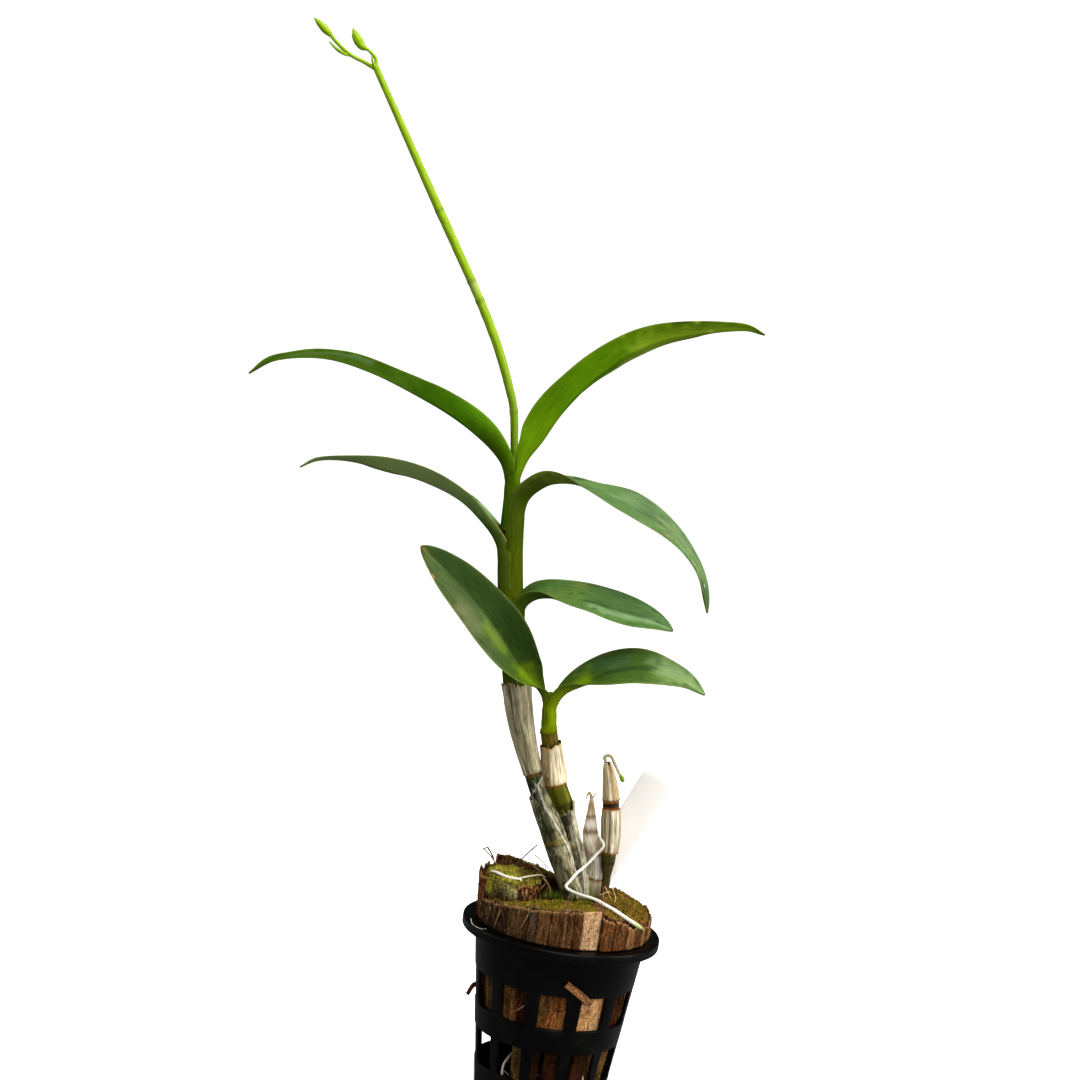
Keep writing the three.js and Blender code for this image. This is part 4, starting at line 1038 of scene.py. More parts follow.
def leaf_sheets(leaf):
    """The upper and the lower sheet of a leaf. With T along the midrib and S across it, turned by
    the roll, a point at width a of a half lies S x + N z from the midrib, where
    x = (sin(fold + k a) - sin fold) / k, z = (cos fold - cos(fold + k a)) / k and k = curl / width.
    The upper sheet has a groove along the midrib and the lower one a keel."""
    rows = leaf_rows(leaf)
    ahead = rows["ahead"]
    side = unit(rows["across"] - (ahead @ rows["across"])[:, None] * ahead)
    up = np.cross(ahead, side)
    cos_roll, sin_roll = np.cos(rows["roll"])[:, None], np.sin(rows["roll"])[:, None]
    side, up = side * cos_roll - up * sin_roll, up * cos_roll + side * sin_roll
    v = np.sin(np.linspace(-1, 1, LEAF["columns"]) * math.pi / 2)[None, :]
    width, fold, curl = (rows[key][:, None] for key in ("width", "fold", "curl"))
    k = np.maximum(curl, 1e-3) / width
    a = np.abs(v) * width
    x = (np.sin(fold + k * a) - np.sin(fold)) / k * np.sign(v)
    z = (np.cos(fold) - np.cos(fold + k * a)) / k
    middle = rows["point"][:, None] + side[:, None] * x[..., None] + up[:, None] * z[..., None]
    slope = (fold * np.minimum(1, 3 * np.abs(v)) + k * a)[..., None]
    normal = up[:, None] * np.cos(slope) - side[:, None] * np.sin(slope) * np.sign(v)[..., None]
    free = smooth(rows["share"], 0.0, 0.25)[:, None]
    crest = bump(a, 0, 0.8) * free * (1 - smooth(rows["share"], 0.93, 1.0)[:, None])
    wave = 0.35 * free * np.abs(v) ** 3 * noise(middle, 11.0, 3)
    half = (LEAF["thickness"] - (LEAF["thickness"] - LEAF["rim"]) * v**6) / 2
    upper = middle + normal * (half + wave - 0.25 * crest)[..., None]
    lower = middle - normal * (half - wave + 0.35 * crest)[..., None]
    return rows, v, a * np.sign(v), upper, lower


print("leaf lengths in mm:",
      {name: round(leaf_rows(leaf)["along"][-1]) for name, leaf in LEAVES.items()})


# %% Leaf colours
# The colour of each leaf's upper face, of its under face and of its sleeve.
LEAF_COLOURS = {
    "top_left": ("47700f", "5c8c14", "44660c"),
    "top_right": ("4a6f04", "527604", "5a7a06"),
    "second_left": ("628038", "7a9856", "4c5808"),
    "second_right": ("587644", "7c8e38", "4a5608"),
    "third_right": ("5a803e", "4c6a20", "4c5a08"),
    "short_left": ("40561e", "4a6a2a", "76880c"),
    "short_right": ("4e6c28", "66862a", "76880c"),
}
# Marks on one face of a leaf, among them painted highlights and sheen: the two ends of a stroke as
# (share of the blade's length, share of its half width), the stroke's half width in mm, its colour
# and how much it covers.
LEAF_MARKS_AND_SHEEN = {
    ("top_left", "under"): [
        # Painted highlight: a pale strip along the top edge.
        ((0.86, 0.45), (0.6, 0.75), 1.6, "a6cc96", 0.8),
        ((0.016, 0.74), (0.018, 0.74), 1.0, "20200c", 0.85),
        ((0.5, 0), (0.88, 0.1), 8.0, "86b038", 0.8),
        ((0, 0.2), (0.14, 0.2), 9.0, "4a5e04", 0.75),
        ((0.94, 0), (1, 0.3), 6, "46552c", 0.7),
    ],
    ("top_right", "under"): [
        ((0.36, 0.92), (0.66, 0.92), 1.8, "b4c08e", 0.75),
        ((0.6, 0.1), (0.95, 0.1), 8.0, "8aa42c", 0.8),
        ((0, 0.3), (0.15, 0.4), 9.0, "5c7404", 0.75),
        ((0.71, -0.98), (0.75, -0.98), 0.8, "1d1a10", 0.9),
        ((0.775, -1), (0.782, -1), 0.8, "c8c860", 0.8),
        ((0.815, -0.1), (0.83, 0), 0.7, "c8c860", 0.7),
    ],
    ("second_left", "under"): [
        ((0, 0), (0.1, 0), 11.0, "4a5a0e", 0.85),
        ((0.4, 0), (0.8, 0.1), 0.5, "6a4a22", 0.8),
        ((0.04, 1), (0.2, 1), 0.5, "b5a468", 0.7),
        ((0.315, 1), (0.33, 1), 0.8, "d0b060", 0.9),
        ((0.35, 0.5), (0.9, 0.5), 6.0, "8c9a64", 0.7),
    ],
    ("second_left", "upper"): [
        ((0.12, -0.95), (0.22, -0.9), 1.8, "9cbc84", 0.8),
    ],
    ("second_right", "under"): [
        ((0, 0), (0.12, 0), 10.0, "43540c", 0.85),
        ((0.25, 0.8), (0.28, 0.83), 1.0, "20200c", 0.85),
    ],
    ("second_right", "upper"): [
        ((0.25, 0.8), (0.28, 0.83), 1.0, "20200c", 0.85),
        ((0.4, 0), (0.66, -0.45), 0.4, "4c6a34", 0.4),
        ((0.66, -0.5), (0.69, -0.5), 0.8, "a98268", 0.75),
        ((0.81, -0.1), (0.812, -0.1), 0.6, "f2efe0", 0.9),
        ((0.9, 0.38), (0.902, 0.38), 0.6, "f2efe0", 0.9),
        ((0.78, -0.97), (0.96, -0.97), 1.3, "33451c", 0.8),
        ((0.3, 0.5), (0.5, 0.3), 4.0, "6f9052", 0.4),
        ((0.66, 0.35), (0.85, 0.2), 5.0, "a8bf86", 0.35),
    ],
    ("third_right", "upper"): [
        ((0.36, 0.8), (0.43, 0.75), 1.3, "8c8c2c", 0.45),
        ((0.16, 0), (0.36, 0), 5.0, "7f9a48", 0.6),
        ((0.45, 0.97), (0.9, 0.97), 1.6, "2a4c1c", 0.75),
        ((0.45, 0), (0.93, 0.1), 0.6, "2c4a1c", 0.8),
        # Painted sheen: a pale line below the groove.
        ((0.5, -0.4), (0.95, -0.2), 2.2, "a5bf8f", 0.55),
        ((0.34, 0.29), (0.35, 0.29), 0.4, "3a3410", 0.6),
        ((0.515, -0.56), (0.522, -0.56), 0.8, "2a2410", 0.85),
    ],
    ("short_left", "upper"): [
        ((0.55, 0.5), (0.9, 0.5), 4.0, "66764a", 0.45),
        ((0.3, -0.6), (0.9, -0.5), 4.4, "2c4a14", 0.7),
        ((0.52, 0.3), (0.36, 0.24), 1.8, "688404", 0.75),
        ((0.2, 0.1), (0.03, 0.2), 5.0, "7c9606", 0.9),
        ((0.55, 0.75), (0.68, 0.7), 2.6, "8e8a66", 0.3),
        ((0.985, 0), (1, 0), 2.4, "8a6a3a", 0.9),
        ((0.864, 1), (0.87, 1), 1.0, "c0a060", 0.9),
    ],
    ("short_right", "upper"): [
        # Painted sheen: a bluish gloss over the first half of the blade.
        ((0.2, 0.8), (0.5, 0.4), 2.8, "5c7c56", 0.5),
        ((0.74, 0.1), (0.98, 0.1), 5.5, "9fb97c", 0.6),
        ((0.2, 0.05), (0.68, 0.15), 0.5, "2f4a18", 0.75),
        ((0.03, -0.2), (0.24, 0.1), 4.2, "86a40a", 0.9),
    ],
    ("short_right", "under"): [
        ((0, -0.5), (0.15, -0.5), 3.0, "8a9a10", 0.8),
    ],
}
MARK_ACROSS = 9  # mm that a half width counts for where a mark's reach is measured
print("marks on the leaves:", sum(len(marks) for marks in LEAF_MARKS_AND_SHEEN.values()))


# %% Leaf tints and blades
def leaf_marks_and_sheen(tint, name, face, share, v, length, points):
    """Lays the marks of one face over its colour, painted highlights and sheen among them. A mark's
    share falls with the distance to the stroke between its two ends, which noise makes ragged."""
    place = stack(share * length, v * MARK_ACROSS)
    ragged = 1 + 0.5 * noise(points, 2.5, 27)
    for *ends, reach, colour, strength in LEAF_MARKS_AND_SHEEN.get((name, face), []):
        start, end = (np.array(spot) * [length, MARK_ACROSS] for spot in ends)
        stroke = end - start
        along = np.clip((place - start) @ stroke / stroke.dot(stroke), 0, 1)[..., None]
        distance = np.linalg.norm(place - start - along * stroke, axis=-1) * ragged
        tint = paint(tint, (colour, strength * bump(distance, 0, reach)))
    return tint


def leaf_tint(rows, v, points, name, face):
    """Colour of one sheet: its own green, yellower on the sleeve, mottled by noise and lined by
    the veins, with a darker midrib and a tan margin, its marks and painted sheen, and dry at the
    very tip."""
    share, along = rows["share"][:, None], rows["along"][:, None]
    upper, under, sleeve = (linear(code) for code in LEAF_COLOURS[name])
    green = upper if face == "upper" else under
    mottle = 0.5 + 0.5 * fractal(points, 9.0, 21)
    veins = 0.5 + 0.5 * fractal(stack(v * 8, along / 30, 0.0), 0.5, 22)
    contrast = 0.2 if face == "upper" else 0.11
    tint = mix(green * (0.98 - contrast), green * (0.98 + contrast), 0.65 * mottle + 0.35 * veins)
    tint = mix(tint, sleeve * (0.8 + 0.4 * veins[..., None]), 1 - smooth(share, -0.06, 0.18))
    tint = paint(tint, ("6a5416", 0.7 * bump(along, 0, 1.6)),
                 (0.62, 0.7 * bump(v, 0, 0.05) * smooth(share, 0.02, 0.2)))
    blade = rows["along"][-1] - np.interp(0, rows["share"], rows["along"])
    tint = leaf_marks_and_sheen(tint, name, face, share, v, blade, points)
    edge = bump(np.abs(v), 1.0, 0.045) * smooth(share, 0, 0.2)
    return paint(tint, ("b0ae68", 0.3 * edge), ("6b4a22", 0.8 * smooth(share, 0.985, 1.0)))


def leaf_shape(name):
    """Slab between the leaf's two sheets. The third number of its lay is 1 on the upper face and
    0 on the lower one."""
    rows, v, across, upper, lower = leaf_sheets(LEAVES[name])
    lays = [stack(rows["along"][:, None], across, face) for face in (1.0, 0.0)]
    tints = [leaf_tint(rows, v, upper, name, "upper"), leaf_tint(rows, v, lower, name, "under")]
    return slab(upper, lower, tints[0], lays[0], tints[1], lays[1])


# Leaf cuticle: a thin wax over green cells, so it has a soft, even gloss.
# Its underside has hardly any wax and is matt.
leaf_skin = plant_skin("dendrobium_leaf_cuticle", 0.46, 0.2, 0.55, 0.06)
leaf_underside = plant_skin("dendrobium_leaf_underside", 0.75, 0.04, 0.55, 0.06, "dadada")
for name in LEAVES:
    made = leaf_shape(name)
    blade = make_piece(f"leaf_{name}_blade", made, leaf_skin, [f"leaf_{name}"])
    blade.data.materials.append(leaf_underside)
    below = made["lay"][made["quads"][:, 0], 2] < 0.5
    blade.data.polygons.foreach_set("material_index", below.astype(np.int32))

# %% [markdown]
# ## Net pot
#
# The pot is moulded in one shot from black polypropylene: a tapered wall with two rows of slots, a
# slotted floor and a flat flange. The wall is a grid whose lines run along the edges of the slots,
# so a slot is made by leaving faces out. Solidify gives it its thickness and Bevel rounds every
# edge a little, as a mould does, which is what makes plastic look like plastic.

# %% Pot shapes
POT = {"height": 80, "rim": 45, "rim_thickness": 4.5, "base": 29.2, "shoulder": 39.4, "wall": 1.6,
       "floor": 2.4}
SLOTS = {"columns": 12, "width": 12.3, "height": 15.7, "rows": (23, 49.8)}
FLOOR_SLOTS = {"count": 8, "width": 4, "inner": 9, "outer": 21}


def pot_radius(z):
    """Outer radius of the wall, straight from the base to the shoulder."""
    return POT["base"] + (POT["shoulder"] - POT["base"]) * z / POT["height"]


def pierced(grid, solid):
    """Open grid whose columns close on themselves, without the faces where `solid` is false."""
    points = grid.reshape(-1, 3)
    return {"points": points, "quads": faces_round(*grid.shape[:2])[solid],
            "tris": np.zeros((0, 3), int), "tint": np.ones_like(points),
            "lay": np.zeros_like(points)}


def sector_grid(radius, z, count, first, half_width, slot_steps, rib_steps):
    """Points round a ring of `count` equal sectors. In each, the first columns cross a slot of
    constant width, so their angle is asin(offset / radius), and the others cross the rib."""
    offset = np.linspace(-1, 1, slot_steps + 1)
    edge = np.degrees(np.arcsin(half_width / radius))[:, None]
    in_slot = np.degrees(np.arcsin(offset[None, :] * half_width / radius[:, None]))
    rib = np.linspace(0, 1, rib_steps + 1)[None, 1:-1]
    in_rib = edge + rib * (360 / count - 2 * edge)
    sector = np.hstack([in_slot, in_rib])
    starts = first + np.arange(count) * 360 / count
    bearing = np.radians((starts[None, :, None] + sector[:, None, :]).reshape(len(radius), -1))
    in_cut = np.tile(np.arange(sector.shape[1]) < slot_steps, count)
    return turned(radius[:, None], z[:, None], bearing), in_cut


def pot_wall():
    """The wall from the base to the shoulder, with lines of the grid along each slot's edges."""
    half = SLOTS["height"] / 2
    bottom, top = POT["floor"] / 2, POT["height"] - 1
    edges = [bottom, *(z + side for z in SLOTS["rows"] for side in (-half, half)), top]
    z = np.concatenate([np.linspace(a, b, 6)[:-1] for a, b in zip(edges, edges[1:])] + [[top]])
    grid, in_cut = sector_grid(pot_radius(z), z, SLOTS["columns"], -90, SLOTS["width"] / 2, 5, 4)
    middle = (z[1:] + z[:-1]) / 2
    at_slot = np.any([np.abs(middle - row) < half for row in SLOTS["rows"]], axis=0)
    return pierced(grid, ~(at_slot[:, None] & in_cut[None, :]))


def pot_floor():
    """Rings from the wall inwards, pierced by the slots, and a fan of triangles in the middle."""
    inner, outer = FLOOR_SLOTS["inner"], FLOOR_SLOTS["outer"]
    radius = np.concatenate([[2.1, 5], np.linspace(inner, outer, 5), [24, pot_radius(0) - 0.3]])
    grid, in_cut = sector_grid(radius, 0 * radius + POT["floor"], FLOOR_SLOTS["count"], 0,
                               FLOOR_SLOTS["width"] / 2, 3, 4)
    middle = (radius[1:] + radius[:-1]) / 2
    at_slot = (middle > inner) & (middle < outer)
    made = pierced(grid, ~(at_slot[:, None] & in_cut[None, :]))
    columns = grid.shape[1]
    hub = stack(np.roll(np.arange(columns), -1), np.arange(columns), len(made["points"]))
    for key in ("points", "tint", "lay"):
        made[key] = np.vstack([made[key], [0, 0, POT["floor"]]])
    return made | {"tris": hub}


def arc(centre, radius, start, end, steps=5):
    """Points on a circle's arc in the plane of a profile, angles in degrees."""
    turn = np.radians(np.linspace(start, end, steps))
    return stack(centre[0] + radius * np.cos(turn), centre[1] + radius * np.sin(turn))


def pot_rim():
    """The flange and the short collar inside it: a profile with rounded corners, turned once."""
    top, low, out = POT["height"], POT["height"] - POT["rim_thickness"], POT["rim"]
    inner, corner = pot_radius(top) - POT["wall"], 0.8
    profile = np.vstack([
        [[inner, low - 2], [inner + 0.8, low - 2], [pot_radius(low) + 0.5, low - 0.2],
         [pot_radius(low) + 1.2, low], [out - 3, low]],
        arc((out - corner, low + corner), corner, -90, 0),
        arc((out - corner, top - corner), corner, 0, 90),
        [[out - 2, top], [out - 4, top], [POT["shoulder"], top]],
        arc((inner + 0.6, top - 0.6), 0.6, 90, 180),
    ])
    bearing = np.linspace(0, 2 * math.pi, 240, endpoint=False)
    return tube(turned(profile[:, :1], profile[:, 1:], bearing), ring=True)


def finish_edges(piece, thickness, offset):
    """Solidify to one side, then Bevel with a small radius where faces meet at an angle."""
    if thickness:
        wall = piece.modifiers.new("wall", "SOLIDIFY")
        wall.thickness, wall.offset, wall.use_even_offset = thickness * MM, offset, True
    soft = piece.modifiers.new("moulded_edges", "BEVEL")
    soft.width, soft.segments = 0.3 * MM, 2
    soft.limit_method, soft.angle_limit = "ANGLE", math.radians(40)
    soft.harden_normals = False


print("openings in the pot's wall:", SLOTS["columns"] * len(SLOTS["rows"]))


# %% Pot plastic
# Injection-moulded black polypropylene: a fine eggshell grain, a broad dull gloss, and in use a
# film of pale dust and splashes of dried hard water.
pot_plastic, tree, shader = new_material("black_polypropylene", IOR=1.49,
                                         Specular_IOR_Level=0.15)
where = add(tree, "TexCoord").outputs["Object"]
grain = add(tree, "TexNoise", {"Vector": where, "Scale": per(0.5), "Detail": 2}).outputs["Fac"]
cloud = add(tree, "TexNoise", {"Vector": where, "Scale": per(14), "Detail": 5,
                               "Roughness": 0.65}).outputs["Fac"]
dust = add(tree, "ValToRGB", {"Fac": cloud}, [(0.5, "000000"), (0.78, "ffffff")]).outputs["Color"]
speck = add(tree, "TexVoronoi", {"Vector": where, "Scale": per(2.6)}).outputs["Distance"]
dot = add(tree, "ValToRGB", {"Fac": speck}, [(0.05, "ffffff"), (0.11, "000000")]).outputs["Color"]
dots = add(tree, "Math", {0: dot, 1: dust}, operation="MULTIPLY")
film = add(tree, "Math", {0: dust, 1: grain}, operation="MULTIPLY")
film = add(tree, "Math", {0: film.outputs[0], 1: 0.05}, operation="MULTIPLY")
film = add(tree, "Math", {0: dots.outputs[0], 1: 0.3, 2: film.outputs[0]},
           operation="MULTIPLY_ADD")
colour = add(tree, "MixRGB", {"Fac": film.outputs[0], "Color1": rgba("020202"),
                              "Color2": rgba("9a948a")})
gloss = add(tree, "MapRange", {"Value": cloud, "To Min": 0.3, "To Max": 0.48})
relief = add(tree, "Bump", {"Height": grain, "Strength": 0.25, "Distance": 0.08 * MM})
tree.links.new(colour.outputs["Color"], shader.inputs["Base Color"])
tree.links.new(gloss.outputs["Result"], shader.inputs["Roughness"])
tree.links.new(relief.outputs["Normal"], shader.inputs["Normal"])

finish_edges(make_piece("pot_wall", pot_wall(), pot_plastic, ["net_pot"]),
             POT["wall"], -1)
finish_edges(make_piece("pot_floor", pot_floor(), pot_plastic, ["net_pot"]),
             POT["floor"], 1)
make_piece("pot_rim", pot_rim(), pot_plastic, ["net_pot"])

# %% [markdown]
# ## Coconut husk
#
# The plant stands in chunks cut from a coconut's husk: long fibres side by side, which run up and
# down here, in a corky pith. A chunk is made as rings up its wall, then rings that shrink over its
# top. Noise with cells that are narrow round the chunk and long up it raises plates and fibres,
# sharp creases in the same noise split them, and the top edge is torn.

# %% Husk shapes
HUSK = {"lower_top": 32, "middle_top": 63, "core_radius": 13}  # the chips' two layers and the core
CLEARANCE = 0.3  # between neighbours
CHUNK_OUTLINE = (0.4, 0.7)  # step between a chunk's outline points, and how far it is rounded


def pot_room(z):
    """Radius inside the pot at a height."""
    return pot_radius(z) - POT["wall"] - CLEARANCE


def closed_outline(corners, step, rounding):
    """A closed outline through corner points, resampled at equal steps and rounded by averaging
    each point with its neighbours. Also gives the distance run along it."""
    corners = np.asarray(corners, float)
    loop = np.vstack([corners, corners[:1]])
    run = lengths(loop)
    count = int(run[-1] / step)
    where = np.arange(count) * run[-1] / count
    points = sample(loop, run, where)
    reach = max(1, int(rounding / step))
    around = sum(np.roll(points, k, axis=0) for k in range(-reach, reach + 1))
    return around / (2 * reach + 1), where


def outward_of(ring):
    """Unit vectors across a closed outline that point away from its middle."""
    along = unit(np.roll(ring, -1, axis=0) - np.roll(ring, 1, axis=0))
    across = stack(along[:, 1], -along[:, 0])
    return across * np.sign(((ring - ring.mean(0)) * across).sum())


def rough_husk(outline, bottom, high, top, seed, limit=None, wild=1.0, dome=0.4):
    """Closed chunk. A wall point is outline + outward * relief, with
    relief = fibres + plates - splits, all noise of (distance round, height / length of a fibre).
    `limit` holds its radius inside the pot, and `top` gives the height over x and y. Returns the
    grid, its lay and the masks for its colours."""
    ring, run = outline
    edge = stack(run, 0 * run, 0 * run + seed)
    torn = wild * (0.5 * noise(edge, 0.8, seed) + 0.9 * noise(edge, 2.6, seed + 1))
    rim = top(ring[:, 0], ring[:, 1]) + torn
    share = np.linspace(0, 1, int((high - bottom) / 0.6))[:, None]
    z = bottom + share * (rim - bottom)
    sway = 0.6 * noise(stack(run, z, 0.0), 7.0, seed + 8)
    at = stack(run + sway, z / 12, float(seed))
    fibres = noise(at, (0.8, 1, 1), seed + 2)
    cracks = np.abs(noise(at, (3.1, 0.9, 1), seed + 4))
    slits = np.abs(noise(at, (1.7, 0.3, 1), seed + 9))
    splits = np.maximum(smooth(0.08 - cracks, 0, 0.08), 0.6 * smooth(0.06 - slits, 0, 0.06))
    plates = noise(at, (4.2, 0.9, 1), seed + 3)
    relief = wild * (0.22 * fibres + 0.55 * plates - 1.0 * splits)
    flat = ring + outward_of(ring) * relief[..., None]
    if limit is not None:
        radius = np.linalg.norm(flat, axis=-1, keepdims=True)
        flat = flat * np.minimum(1, limit(z)[..., None] / radius)
    wall = np.concatenate([flat, z[..., None]], -1)
    inward = np.linspace(0, 1, 30)[1:, None, None] ** 0.9 * 0.985
    cap = flat[-1] * (1 - inward) + ring.mean(0) * inward
    place = np.concatenate([cap, np.full((*cap.shape[:2], 1), seed)], -1)
    pits = smooth(noise(place, 1.7, seed + 6), 0.25, 0.7)
    grit = 0.7 * fractal(place, 4.5, seed + 5) + 0.3 * noise(place, 0.9, seed + 7) - 1.1 * pits
    settle = smooth(inward[..., 0], 0.02, 0.13)
    height = top(cap[..., 0], cap[..., 1]) + torn * (1 - settle)
    height = height + settle * (dome + wild * grit) - dome * 0.4 * (1 - settle)
    grid = np.vstack([wall, np.concatenate([cap, height[..., None]], -1)])
    lay = np.zeros_like(grid)
    lay[..., 0], lay[..., 1] = grid[..., 2], run
    masks = {
        "fibres": np.vstack([0.6 * fibres + 0.4 * plates, 0.5 * noise(place, 0.7, seed)]),
        "splits": np.vstack([splits, 0.8 * pits * settle]),
        "plates": np.vstack([plates, 0.3 * grit]),
        "on_top": np.vstack([0 * z * rim, settle + 0 * height]),
    }
    return grid, lay, masks


def husk_tint(grid, masks, bark, moss, cover, seed):
    """Bark between its dark and its light colour by the fibres, redder or greyer from plate to
    plate, with painted shade in the splits and pits, and with moss over the top."""
    blotch = 0.5 + 0.5 * fractal(grid, 6.0, seed)
    share = np.clip(0.5 + 0.55 * masks["fibres"] + 0.5 * (blotch - 0.5), 0, 1)
    tint = paint(mix(*bark, share), ([1.25, 0.82, 0.6], smooth(masks["plates"], 0.15, 0.5) * 0.6))
    # Painted shade: darkened by up to 85 % in the splits of the wall and the pits of the top.
    tint = tint * (1 - 0.85 * masks["splits"][..., None])
    patch = smooth(fractal(grid, 5.0, seed + 2), 0.2 - cover, 0.6 - cover)
    grown = masks["on_top"] * patch * (1 - masks["splits"])
    green = mix(*moss, 0.5 + 0.6 * fractal(grid, 3.0, seed + 1))
    return mix(tint, green, grown), grown


def arc_corners(radius, start, end, steps):
    """Corner points on a circle round the pot's axis, bearings in degrees."""
    return arc((0, 0), radius, start, end, steps + 1).tolist()


# Outline, height and dome of the top, bark and moss colours, how much moss there is, and the
# splinters of the outer wall: their colours, how far they stand off and how ragged they are.
BLOCKS = {
    "front_left": {
        "outline": [*arc_corners(38.5, 197, 281, 9), [15.2, -35.2], [14.5, -24], [13.6, -11.3],
                    [0, -11.2], [-18, -11.4]],
        "top": lambda x, y: 96.4 + 0.1 * x - 0.1 * (y + 38), "dome": 0.3, "radius": 38.5,
        "bark": ("33200f", "b38d62"), "moss": ("4c3c0c", "948026"), "cover": 0.8,
        "plates": (["8f6b44", "7a5230", "a67e54", "64422a", "847258", "94643a"], 0.0, 0.5),
        # The shadow stretch is painted shade: the splinters grey and darken towards its left end.
        "facet": ((7.3, -37.8), "dfbb93"), "shadow": (-31, -2),
    },
    "right": {
        "outline": [*arc_corners(39.5, -64.5, 19, 7), [22.6, 13.2], [22.4, 0], [15, -11],
                    [15.6, -24]],
        "top": lambda x, y: 97.5 - 0.42 * (x - 18) + 0.06 * y, "dome": 0.6, "radius": 39.5,
        "bark": ("3a220f", "9c6f42"), "moss": ("60480c", "a08c2e"), "cover": 0.8,
        "plates": (["ac7c4c", "c09260", "946438", "805834", "c8a06c"], 0.1, 1.3),
    },
    "left": {
        "outline": [*arc_corners(38.5, 195.5, 160, 4), [-14, 13.2], [-13.6, 1], [-14, -10.2],
                    [-26, -10]],
        "top": lambda x, y: 99.5 - 0.12 * (x + 26) - 0.5 * np.maximum(0, -33 - x),
        "dome": 1.2, "radius": 38.5,
        "bark": ("2c1a0c", "8c6438"), "moss": ("4c430f", "9a8f2c"), "cover": 0.6,
        "plates": (["7d4423", "9a6238", "6a3a1e", "8c5a34"], 0.8, 2.8),
    },
    # The centre chunk lies low between the others; its near-black bark and moss are painted shade.
    "centre": {
        "outline": [[-13, 13], [-13, -10.6], [0, -10.6], [14, -10.6], [21.8, 0], [22, 13],
                    [3, 13.2]],
        "top": lambda x, y: 85.7 + 0 * x, "dome": 0.3, "radius": 60,
        "bark": ("120c06", "2f2212"), "moss": ("141c06", "2c3a0c"), "cover": 0.4,
    },
    "back_left": {
        "outline": [*arc_corners(36.5, 154, 91, 7), [-0.6, 14.8], [-12, 14.8], [-24, 14.7],
                    [-33, 15]],
        "top": lambda x, y: 101.5 - 0.3 * (x + 24) - 0.14 * (y - 15), "dome": 0.8, "radius": 36.5,
        "bark": ("2c1c0c", "7d5a32"), "moss": ("463c12", "8c7c30"), "cover": 0.6,
        "plates": (["7d4a26", "94683e", "6a3c1e", "a07850"], 0.1, 1.2),
    },
    "back_right": {
        "outline": [[33, 15], [20, 14.8], [8, 14.8], [0.8, 14.9],
                    *arc_corners(36.5, 88.8, 26, 7)],
        "top": lambda x, y: 94 - 0.15 * (x - 15) - 0.1 * (y - 15), "dome": 0.8, "radius": 36.5,
        "bark": ("3c2410", "956b42"), "moss": ("565010", "958a2c"), "cover": 0.6,
        "plates": (["8c6238", "a07848", "70482a", "866a4a"], 0.1, 1.0),
    },
}


def block_limit(z):
    """Inside the pot up to its rim, and free above it."""
    return np.where(z < POT["height"] + CLEARANCE, pot_room(np.minimum(z, 79)) - 0.2, 60.0)


def husk_block(name, seed):
    """Chunk from the top of the chips up to its own top, its bark darkened by painted shade where
    the splinters stand in front of it. Also gives the grid and the masks that fibres and moss are
    drawn by."""
    block = BLOCKS[name]
    outline = closed_outline(block["outline"], *CHUNK_OUTLINE)
    grid, lay, masks = rough_husk(outline, HUSK["middle_top"] + CLEARANCE, 98, block["top"], seed,
                                  block_limit, dome=block["dome"])
    tint, grown = husk_tint(grid, masks, block["bark"], block["moss"], block["cover"], seed)
    # Painted shade behind the splinters: the outer wall above the pot, darkened down to 30 %.
    far = smooth(np.linalg.norm(grid[..., :2], axis=-1), block["radius"] - 2.5,
                 block["radius"] - 1) * (grid[..., 2] > POT["height"]) * (1 - masks["on_top"])
    return tube(grid, paint(tint, (0.3, far)), lay), grid, masks["on_top"], grown


# %% Coir and the chunks
# Coir: bare plant fibre and cork, fully matt, with strands a third of a millimetre wide.
coir = plant_matter("coconut_coir", [(0.1, "3c322a"), (0.24, "c8bfb4"), (0.38, "ffffff")],
                    (6, 0.4, 4, 0.65), (0.8, 3), 0.95, (1.0, 0.6),
                    Roughness=0.9, IOR=1.35, Specular_IOR_Level=0.2)

tops = {}
for seed, name in enumerate(BLOCKS):
    made, *tops[name] = husk_block(name, 60 + 10 * seed)
    make_piece(f"husk_{name}_chunk", made, coir, [f"husk_{name}"])

# %% Splinters of the outer wall
def plate_stretches(run, facet_at, random):
    """Stretches of the outline from its first to its last run, one for each splinter, with a
    narrow gap between each two, and one for the whole cut facet if there is one."""
    at, stretches = run[0], []
    while at < facet_at - 1.2:
        width = random.uniform(1.4, 9.0)
        stretches.append((at, min(at + width, facet_at)))
        at += width + random.uniform(0.0, 0.2)
    if run[1] - facet_at > 3:
        stretches.append((facet_at, run[1]))
    return stretches


